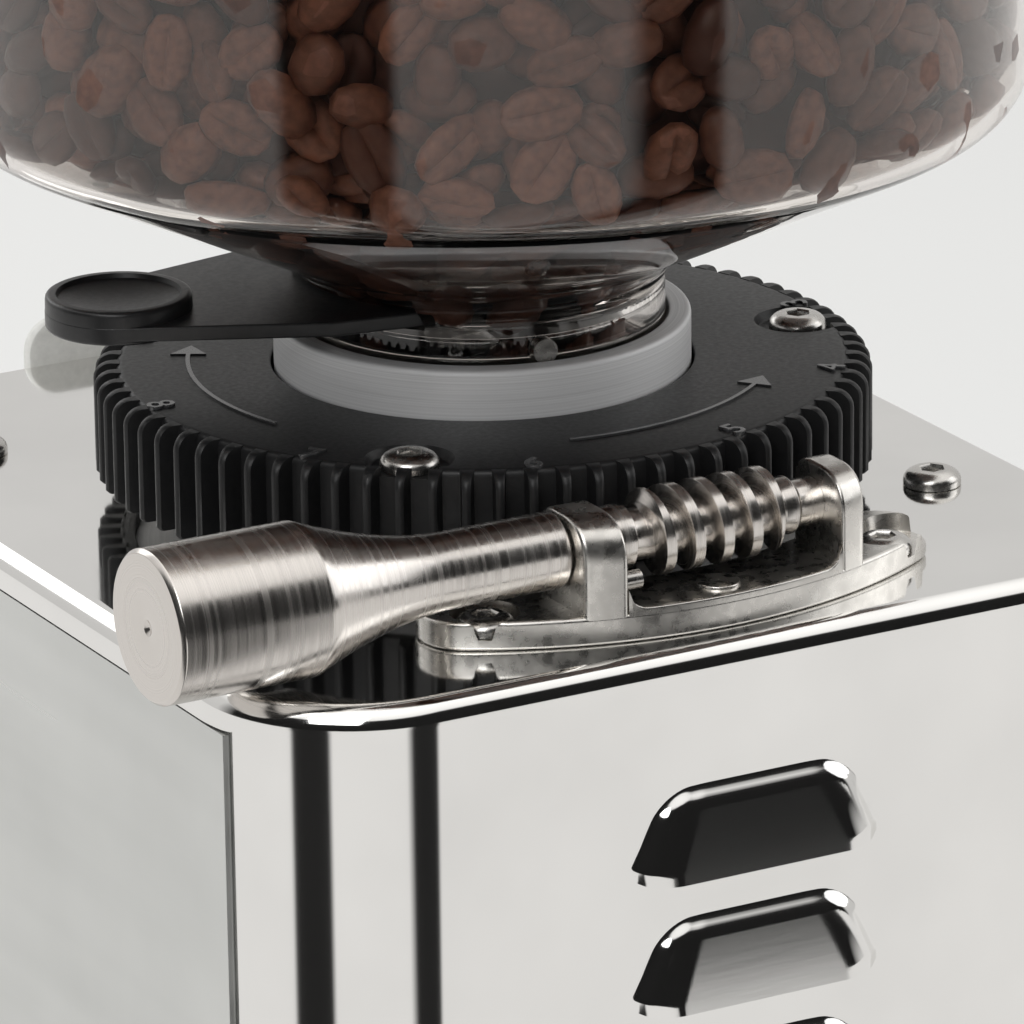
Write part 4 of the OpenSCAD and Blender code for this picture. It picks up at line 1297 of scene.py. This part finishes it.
    def wall_spots(self, depth: float, gap: float, rng: random.Random) -> list[Spot]:
        """Scatter beans against the bowl's inside.

        Args:
            depth: How far the beans' middles are from the wall.
            gap: The least distance between two middles.
            rng: The source of chance.

        Returns:
            The beans' places.
        """
        line = [p for p in self.inner() if p[1] < self.fill - 3]
        line.append((self.rim_r - self.wall - 0.6, self.fill - 3))
        pieces = []
        for (r0, z0), (r1, z1) in zip(line, line[1:]):
            length = math.hypot(r1 - r0, z1 - z0)
            if length > 0.01:
                pieces.append(((r0, z0), (r1, z1), length * (r0 + r1) / 2, length))
        total = sum(p[2] for p in pieces)
        found: list[Vector] = []
        spots: list[Spot] = []
        cells: dict[tuple[int, int, int], list[Vector]] = {}
        for _ in range(int(total * 6.3 / gap ** 2 * 9)):
            pick = rng.random() * total
            for (r0, z0), (r1, z1), share, length in pieces:
                if pick < share:
                    break
                pick -= share
            t = rng.random()
            inward = Vector((-(z1 - z0) / length, (r1 - r0) / length))
            r = r0 + (r1 - r0) * t + inward.x * depth
            z = z0 + (z1 - z0) * t + inward.y * depth
            a = rng.random() * 2 * math.pi
            if r < 3:
                continue
            spot = Vector((r * math.cos(a), r * math.sin(a), z))
            cell = tuple(int(c // gap) for c in spot)
            near = [q for i in (-1, 0, 1) for j in (-1, 0, 1) for k in (-1, 0, 1)
                    for q in cells.get((cell[0] + i, cell[1] + j, cell[2] + k), ())]
            if any((q - spot).length < gap for q in near):
                continue
            cells.setdefault(cell, []).append(spot)
            found.append(spot)
            normal = Vector((inward.x * math.cos(a), inward.x * math.sin(a), inward.y))
            spots.append(self.lie(spot, normal, rng))
        return spots

    def lie(self, spot: Vector, normal: Vector, rng: random.Random) -> Spot:
        """Lay a bean at a place, roughly flat against a surface.

        Args:
            spot: The bean's middle, heights above the ring.
            normal: The surface's normal.
            rng: The source of chance.

        Returns:
            The bean's place.
        """
        thick = normal.normalized() * (1 if rng.random() < 0.5 else -1)
        lean = Vector((rng.gauss(0, 1), rng.gauss(0, 1), rng.gauss(0, 1)))
        thick = (thick + lean * 0.26).normalized()
        along = thick.cross(Vector((rng.gauss(0, 1), rng.gauss(0, 1), rng.gauss(0, 1)))).normalized()
        side = thick.cross(along)
        matrix = Matrix((along, side, thick)).transposed()
        size = rng.uniform(0.88, 1.1)
        return Spot((spot.x, spot.y, spot.z + RING_TOP), tuple(matrix.to_euler()),
                    (size * rng.uniform(0.9, 1.1), size * rng.uniform(0.92, 1.08), size))

    def top_spots(self, rng: random.Random) -> list[Spot]:
        """Scatter beans over the heap's top."""
        spots = []
        gap = 8.2
        limit = self.rim_r - self.wall - 6
        steps = int(2 * limit / gap) + 2
        for i in range(-steps // 2, steps // 2 + 1):
            for j in range(-steps // 2, steps // 2 + 1):
                x = (i + 0.5 * (j % 2)) * gap + rng.uniform(-1.6, 1.6)
                y = j * gap * 0.87 + rng.uniform(-1.6, 1.6)
                if math.hypot(x, y) > limit:
                    continue
                z = self.fill - 5 + 5 * (1 - math.hypot(x, y) / limit) + rng.uniform(-1.5, 1.5)
                spots.append(self.lie(Vector((x, y, z)), Vector((0, 0, 1)), rng))
        return spots

    def core(self) -> bpy.types.Object:
        """Make the dark mass of beans inside the outer layers."""
        inset = 9.0
        profile: Outline = [(0, 24)]
        for r, z in self.inner():
            if 26 < z < self.fill - 12 and r > 32:
                profile.append((r - inset, z + 4))
        profile += [(self.rim_r - self.wall - inset, self.fill - 10), (0, self.fill - 6)]
        lifted = [(r, z + RING_TOP) for r, z in profile]
        return lathe("bean_mass", lifted, 72, crease=60)

    def build(self, repeater: Repeater) -> None:
        """Make and settle the hopper's pieces.

        Args:
            repeater: The tree that sets the beans.
        """
        settle(self.bowl(), Body.RING, "smoke_clear", ["hopper_bowl", "hopper_neck"])
        settle(self.gate(), Body.GATE, "gate_black", ["slide_gate"])
        settle(self.lid(), Body.LID, "smoke_clear", ["hopper_lid"])
        settle(self.lid_knob(), Body.LID, "gate_black", ["lid_knob"])
        rng = random.Random(11)
        bean = self.bean()
        outer = self.wall_spots(3.4, 7.7, rng)
        inner = self.wall_spots(7.6, 8.2, rng)
        heap = self.top_spots(rng)
        layers = (("beans_outside", outer, 1), ("beans_behind", inner, 2), ("beans_on_top", heap, 3))
        for name, spots, seed in layers:
            LOG.info("%s: %d beans", name, len(spots))
            made = repeater.spread(name, bean, spots, "roast_beans", seed, keep_item=True)
            settle(made, Body.RING, "roast_beans", ())
        bpy.data.objects.remove(bean)
        settle(self.core(), Body.RING, "roast_beans", ())


@dataclass
class Case:
    """The polished shell with its louvres."""

    half: float = 81.5
    back: float = 85.3
    front: float = 98.0
    rear_r: float = 27.0
    front_corner: float = 6.0
    bend: float = 3.7
    wall: float = 3.0
    low: float = 22.0
    seam_y: float = 66.0
    panel: float = 1.5
    neck_r: float = 46.2
    rows: int = 6
    louvre_out: float = 4.0
    louvre_top: float = 21.3
    louvre_step: float = 21.4
    louvre_h: float = 14.9
    louvre_w: float = 45.4
    louvre_top_w: float = 31.0

    def loop(self, inset: float, z: float) -> list[tuple[float, float, float]]:
        """Return the case's outline drawn in by some inset, at a height."""
        outline: Outline = []
        for sx, sy, start in ((1, 1, 0), (-1, 1, 90), (-1, -1, 180), (1, -1, 270)):
            radius = self.rear_r if sy > 0 else self.front_corner
            depth = self.back if sy > 0 else self.front
            centre = (sx * (self.half - radius), sy * (depth - radius))
            steps = 28 if sy > 0 else 8
            outline += arc(max(radius - inset, 0.3), start, start + 90, steps, centre)
        return [(x, y, z) for x, y in outline]

    def shell(self) -> bpy.types.Object:
        """Make the shell and cut its windows and seats."""
        rows = [self.loop(self.wall, PLATE - self.wall), self.loop(self.wall, self.low),
                self.loop(0, self.low)]
        steps = 8
        for k in range(steps + 1):
            a = math.pi / 2 * k / steps
            rows.append(self.loop(self.bend * (1 - math.cos(a)), PLATE - self.bend * (1 - math.sin(a))))
        shell = stack("polished_case", rows, 32)
        top = PLATE - self.bend - 2.6 + 0.3
        low = self.low + 3.7
        near, far = 8 - self.front - 0.3, self.seam_y + 0.3
        cutters = []
        for side in (-1, 1):
            outer = sorted((side * (self.half - self.panel), side * (self.half + 1)))
            cutters.append(block((outer[0], near, low), (outer[1], far, top)))
            inner = sorted((side * (self.half - 10), side * (self.half + 10)))
            cutters.append(block((inner[0], near + 9.3, low + 9.3), (inner[1], far - 9.3, top - 9.3)))
        w = self.half - 10 + 0.3
        cutters.append(block((-w, -self.front - 1, low), (w, -self.front + self.panel, top)))
        cutters.append(block((9.3 - w, -self.front - 1, low + 9.3), (w - 9.3, -self.front + 9, top - 9.3)))
        ring = [(0, PLATE - 8), (self.neck_r, PLATE - 8), (self.neck_r, PLATE + 8), (0, PLATE + 8)]
        cutters.append(lathe("neck_hole", ring, 128))
        for k in range(self.rows):
            z = PLATE - self.louvre_top - k * self.louvre_step
            cutters.append(block((-17.5, self.back - 5, z - self.louvre_h + 1),
                                 (17.5, self.back + 1, z - 7.5)))
        low_inlet, high_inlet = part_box("mains_inlet")
        x0, x1 = low_inlet[0] / MM - AXIS.x, high_inlet[0] / MM - AXIS.x
        z0, z1 = low_inlet[2] / MM, high_inlet[2] / MM
        cutters.append(block((x0 + 2, self.back - 6, z0 + 2), (x1 - 2, self.back + 2, z1 - 2)))
        return weigh(cut(shell, *cutters))

    def louvre(self) -> bpy.types.Object:
        """Make one pressed louvre, round the middle of its top edge, opening downwards."""
        across, down, thick, corner = 84, 34, 0.9, 5.0
        skins = []
        for inset in (0.0, thick):
            grid = []
            for j in range(down + 1):
                t = j / down
                spread = (self.louvre_w - self.louvre_top_w) * min(1.0, t * 1.15) ** 0.75
                half = (self.louvre_top_w + spread) / 2
                for i in range(across + 1):
                    x = half * (-1 + 2 * i / across)
                    top_gap, side_gap = t * self.louvre_h, half - abs(x)
                    gap = min(top_gap, side_gap)
                    if top_gap < corner and side_gap < corner:
                        gap = corner - math.hypot(corner - top_gap, corner - side_gap)
                    shoulder = 1.3 * ease(gap / 3.4)
                    slope = (self.louvre_out - 1.3) * t * ease(side_gap / 8.0)
                    lip = 1.6 * max(0.0, 1 - side_gap / 4.0) ** 2 * max(0.0, t - 0.6) / 0.4
                    grid.append((x, shoulder + slope - 0.12 - inset, -top_gap + lip))
            skins.append(grid)
        width = across + 1
        points = skins[0] + skins[1]
        base = len(skins[0])
        faces = []
        for j in range(down):
            for i in range(across):
                a = j * width + i
                faces.append((a, a + 1, a + width + 1, a + width))
                faces.append((base + a, base + a + width, base + a + width + 1, base + a + 1))
        border = [i for i in range(width)] + [j * width + across for j in range(1, down + 1)]
        border += [down * width + i for i in range(across - 1, -1, -1)]
        border += [j * width for j in range(down - 1, 0, -1)]
        for p, q in zip(border, border[1:] + border[:1]):
            faces.append((p, q, base + q, base + p))
        return mesh_object("louvre", points, faces, 50, placed=False)

    def build(self, repeater: Repeater) -> None:
        """Make and settle the case's pieces.

        Args:
            repeater: The tree that sets louvres and screws.
        """
        settle(self.shell(), Body.HOUSING, "polished_steel", ["body_shell"])
        spots = [Spot((0, self.back, PLATE - self.louvre_top - k * self.louvre_step))
                 for k in range(self.rows)]
        louvres = repeater.spread("rear_louvres", self.louvre(), spots, "polished_steel")
        settle(louvres, Body.HOUSING, "polished_steel")
        places = [Spot((x, y, PLATE), (0, 0, 0.3 * x)) for x in (-62.5, 62.5) for y in (-58, 36)]
        screws = repeater.spread("plate_button_screws", ButtonScrew().build(), places, "zinc_screw")
        settle(screws, Body.HOUSING, "zinc_screw", ["plate_screws"])


@dataclass(frozen=True)
class Softened:
    """A plain CAD piece shown with its sharp edges rounded a little."""

    node: str
    width: float = 0.5

    def build(self, slots: dict[str, str], bodies: dict[str, str]) -> None:
        """Copy the CAD piece's shape, round its edges and settle it.

        Args:
            slots: Each node's slot in the record.
            bodies: Each node's body.
        """
        bm = bmesh.new()
        bm.from_mesh(frame["nodes"][self.node].data)
        bmesh.ops.remove_doubles(bm, verts=bm.verts, dist=0.002 * MM)
        bmesh.ops.dissolve_limit(bm, angle_limit=math.radians(0.5), verts=bm.verts, edges=bm.edges)
        mark_creases(bm, 28)
        mesh = bpy.data.meshes.new(f"{self.node}_softened")
        bm.to_mesh(mesh)
        bm.free()
        made = bpy.data.objects.new(f"{self.node}_softened", mesh)
        bpy.context.scene.collection.objects.link(made)
        bevelled(made, self.width, 2, 40)
        made.data.materials.clear()
        made.data.materials.append(finish(slots[self.node]))
        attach(made, bodies[self.node])
        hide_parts(self.node)
        LOG.info("%s softened, %d faces", self.node, len(made.data.polygons))


class CarriedNodes:
    """CAD nodes that keep their own shape, or a slightly rounded copy of it, and get a finish."""

    softened: tuple[Softened, ...] = (
        Softened("side_panel_right", 0.25), Softened("side_panel_left", 0.25), Softened("front_panel", 0.25),
        Softened("base_plate", 1.2), Softened("drip_tray", 0.5), Softened("front_hood", 1.0),
        Softened("portafilter_fork", 1.0), Softened("rocker", 0.4), Softened("switch_frame", 0.4),
        Softened("mains_inlet", 0.4), Softened("rubber_feet", 0.8),
    )

    def build(self) -> None:
        """Give every CAD node the material of its slot in the record."""
        slots = {part["node"]: part["material_slot"] for part in frame["record"]["subparts"]}
        for node, obj in frame["nodes"].items():
            obj.data.materials.clear()
            obj.data.materials.append(finish(slots[node]))
        LOG.info("%d CAD nodes dressed", len(slots))
        groups = frame["record"]["behaviour"]["bodies"]
        bodies = {node: body for body, members in groups.items() for node in members}
        for piece in self.softened:
            piece.build(slots, bodies)


@dataclass
class Studio:
    """Pale floor, soft lights, surroundings and camera."""

    azimuth: float = 151.39
    elevation: float = 17.684
    distance: float = 1315.8
    lens: float = 288.3
    roll: float = 0.827
    sensor: float = 36.0
    clip: tuple[float, float] = (0.05, 20.0)
    turn: float = 0.2054  # degrees to the right of the ring's centre that the camera looks
    dip: float = 1.1017   # degrees below it
    floor_r: float = 3.0
    room: tuple[float, float, float] = (0.78, 0.78, 0.775)
    # Greys of the floor's glow as glossy rays see it, by angle round streak_centre: the dark stops are
    # painted streaks, a painted reflection on the rounded rear corner.
    reflection_streak_stops: tuple[tuple[float, float], ...] = (
        (0.0, 0.86), (0.10, 0.86), (0.115, 0.02), (0.240, 0.02), (0.255, 0.86),
        (0.520, 0.86), (0.545, 0.02), (0.632, 0.02), (0.644, 0.86), (1.0, 0.86)
    )
    # The rear corner's arc centre, from which the painted reflection streaks fan out.
    streak_centre: tuple[float, float] = (54.5, 58.3)
    sky: tuple[tuple[float, float], ...] = (
        (0.0, 0.012), (0.5, 0.012), (0.62, 0.02), (0.68, 1.0), (0.9, 1.3)
    )
    far_sky: tuple[tuple[float, float], ...] = (
        (0.0, 0.66), (0.5, 0.70), (0.68, 1.0), (0.9, 1.3)
    )

    def floor(self) -> None:
        """Make the pale floor. Glossy rays see it glow instead, with painted dark streaks fanning out round
        the case's rear corner, seen only in reflections: a painted reflection on that corner.
        """
        bm = bmesh.new()
        bmesh.ops.create_circle(bm, cap_ends=True, segments=96, radius=self.floor_r)
        mesh = bpy.data.meshes.new("floor")
        bm.to_mesh(mesh)
        bm.free()
        floor = bpy.data.objects.new("floor", mesh)
        bpy.context.scene.collection.objects.link(floor)
        shader = Shader("pale_floor")
        shader.blend(shader.noise(400, 2), (0.80, 0.80, 0.79), (0.84, 0.84, 0.83))
        shader.constant(Roughness=0.7)
        split = shader.node("ShaderNodeSeparateXYZ")
        shifted = shader.node("ShaderNodeMapping")
        shifted.inputs["Location"].default_value = -to_frame((*self.streak_centre, 0))
        shader.wire(shader.position, shifted.inputs["Vector"])
        shader.wire(shifted.outputs["Vector"], split.inputs["Vector"])
        angle = shader.node("ShaderNodeMath", operation="ARCTAN2")
        shader.wire(split.outputs["Y"], angle.inputs[0])
        shader.wire(split.outputs["X"], angle.inputs[1])
        ramp = shader.node("ShaderNodeValToRGB")
        turned = shader.node("ShaderNodeMapRange")
        turned.inputs["From Min"].default_value = 0.0
        turned.inputs["From Max"].default_value = math.pi
        shader.wire(angle.outputs["Value"], turned.inputs["Value"])
        shader.wire(turned.outputs["Result"], ramp.inputs["Fac"])
        self.stops(ramp, self.reflection_streak_stops)
        # The glow that glossy rays see on the floor: the painted reflection streaks.
        painted_streaks = shader.node("ShaderNodeEmission")
        shader.wire(ramp.outputs["Color"], painted_streaks.inputs["Color"])
        path = shader.node("ShaderNodeLightPath")
        mix = shader.node("ShaderNodeMixShader")
        shader.wire(path.outputs["Is Glossy Ray"], mix.inputs["Fac"])
        shader.wire(shader.surface.outputs["BSDF"], mix.inputs[1])
        shader.wire(painted_streaks.outputs["Emission"], mix.inputs[2])
        output = [n for n in shader.tree.nodes if n.type == "OUTPUT_MATERIAL"][0]
        shader.wire(mix.outputs["Shader"], output.inputs["Surface"])
        mesh.materials.append(shader.material)

    def stops(self, ramp: bpy.types.Node, stops: Sequence[tuple[float, float]]) -> None:
        """Set a colour ramp's greys.

        Args:
            ramp: The ramp.
            stops: Pairs of a place and a grey.
        """
        while len(ramp.color_ramp.elements) < len(stops):
            ramp.color_ramp.elements.new(0.5)
        for element, (place, value) in zip(ramp.color_ramp.elements, stops):
            element.position = place
            element.color = (value, value * 0.985, value * 0.965, 1)

    def light(self, name: str, at: Sequence[float], size: tuple[float, float], power: float) -> None:
        """Add a soft box that faces the grinder.

        Args:
            name: Its name.
            at: Its place in metres.
            size: Its width and height in metres.
            power: Its power in watts.
        """
        data = bpy.data.lights.new(name, "AREA")
        data.shape = "RECTANGLE"
        data.size, data.size_y = size
        data.energy = power
        lamp = bpy.data.objects.new(name, data)
        lamp.location = at
        aim = Vector((0, 0, 0.25)) - Vector(at)
        lamp.rotation_euler = aim.to_track_quat("-Z", "Y").to_euler()
        bpy.context.scene.collection.objects.link(lamp)

    def surroundings(self) -> None:
        """Make a pale room; reflections see a dark band low down on the camera's side of it."""
        world = bpy.data.worlds.new("studio")
        world.use_nodes = True
        bpy.context.scene.world = world
        tree = world.node_tree
        back = tree.nodes["Background"]

        def node(kind: str, **settings: object) -> bpy.types.Node:
            made = tree.nodes.new(kind)
            for key, value in settings.items():
                setattr(made, key, value)
            return made

        coords = node("ShaderNodeTexCoord")
        split = node("ShaderNodeSeparateXYZ")
        tree.links.new(coords.outputs["Generated"], split.inputs["Vector"])
        ramps = []
        for stops in (self.far_sky, self.sky):
            ramp = node("ShaderNodeValToRGB")
            tree.links.new(split.outputs["Z"], ramp.inputs["Fac"])
            self.stops(ramp, stops)
            ramps.append(ramp)
        toward = node("ShaderNodeVectorMath", operation="DOT_PRODUCT")
        azimuth = math.radians(self.azimuth)
        toward.inputs[1].default_value = (math.sin(azimuth), -math.cos(azimuth), 0)
        tree.links.new(coords.outputs["Generated"], toward.inputs[0])
        near = node("ShaderNodeMapRange")
        near.inputs["From Min"].default_value = -0.15
        near.inputs["From Max"].default_value = 0.1
        tree.links.new(toward.outputs["Value"], near.inputs["Value"])
        sides = node("ShaderNodeMix", data_type="RGBA")
        shown = node("ShaderNodeMix", data_type="RGBA")
        side_colours = [s for s in sides.inputs if s.type == "RGBA"]
        shown_colours = [s for s in shown.inputs if s.type == "RGBA"]
        tree.links.new(near.outputs["Result"], sides.inputs["Factor"])
        for ramp, socket in zip(ramps, side_colours):
            tree.links.new(ramp.outputs["Color"], socket)
        path = node("ShaderNodeLightPath")
        tree.links.new(path.outputs["Is Glossy Ray"], shown.inputs["Factor"])
        shown_colours[0].default_value = (*self.room, 1)
        tree.links.new([s for s in sides.outputs if s.type == "RGBA"][0], shown_colours[1])
        tree.links.new([s for s in shown.outputs if s.type == "RGBA"][0], back.inputs["Color"])
        bpy.context.scene.view_settings.view_transform = "Standard"

    def camera(self) -> None:
        """Set the camera where the grinder is seen from its right and behind."""
        azimuth, elevation, roll = (math.radians(a) for a in (self.azimuth, self.elevation, self.roll))
        back = Vector((math.sin(azimuth) * math.cos(elevation), -math.cos(azimuth) * math.cos(elevation),
                       math.sin(elevation)))
        right = Vector((math.cos(azimuth), math.sin(azimuth), 0))
        up = back.cross(right)
        place = to_frame((0, 0, RING_TOP)) + back * self.distance * MM
        across, rise = math.tan(math.radians(self.turn)), -math.tan(math.radians(self.dip))
        flat = math.cos(roll) * across + math.sin(roll) * rise
        tall = -math.sin(roll) * across + math.cos(roll) * rise
        ahead = (right * flat + up * tall - back).normalized()
        side = right * math.cos(roll) - up * math.sin(roll)
        side = (side - ahead * side.dot(ahead)).normalized()
        top = side.cross(ahead)
        data = bpy.data.cameras.new("camera")
        data.lens = self.lens
        data.sensor_width = self.sensor
        data.clip_start, data.clip_end = self.clip
        camera = bpy.data.objects.new("camera", data)
        matrix = Matrix((side, top, -ahead)).transposed().to_4x4()
        camera.matrix_world = Matrix.Translation(place) @ matrix
        bpy.context.scene.collection.objects.link(camera)
        bpy.context.scene.camera = camera

    def build(self) -> None:
        """Build the studio."""
        self.camera()
        self.floor()
        self.surroundings()
        self.light("key", (0.9, 1.0, 1.3), (0.9, 0.9), 9)
        self.light("fill", (-1.3, 0.6, 0.9), (1.0, 1.0), 4)
        self.light("front", (0.3, -1.5, 1.1), (1.0, 1.0), 4)
        LOG.info("studio ready")


def main() -> None:
    """Build the grinder's looks, one sub-assembly after the other."""
    logging.basicConfig(level=logging.INFO, format="%(name)s: %(message)s")
    Studio().build()
    repeater = Repeater()
    CarriedNodes().build()
    Case().build(repeater)
    AdjustingRing().build(repeater)
    WormDrive().build(repeater)
    Hopper().build(repeater)


if __name__ == "__main__":
    main()
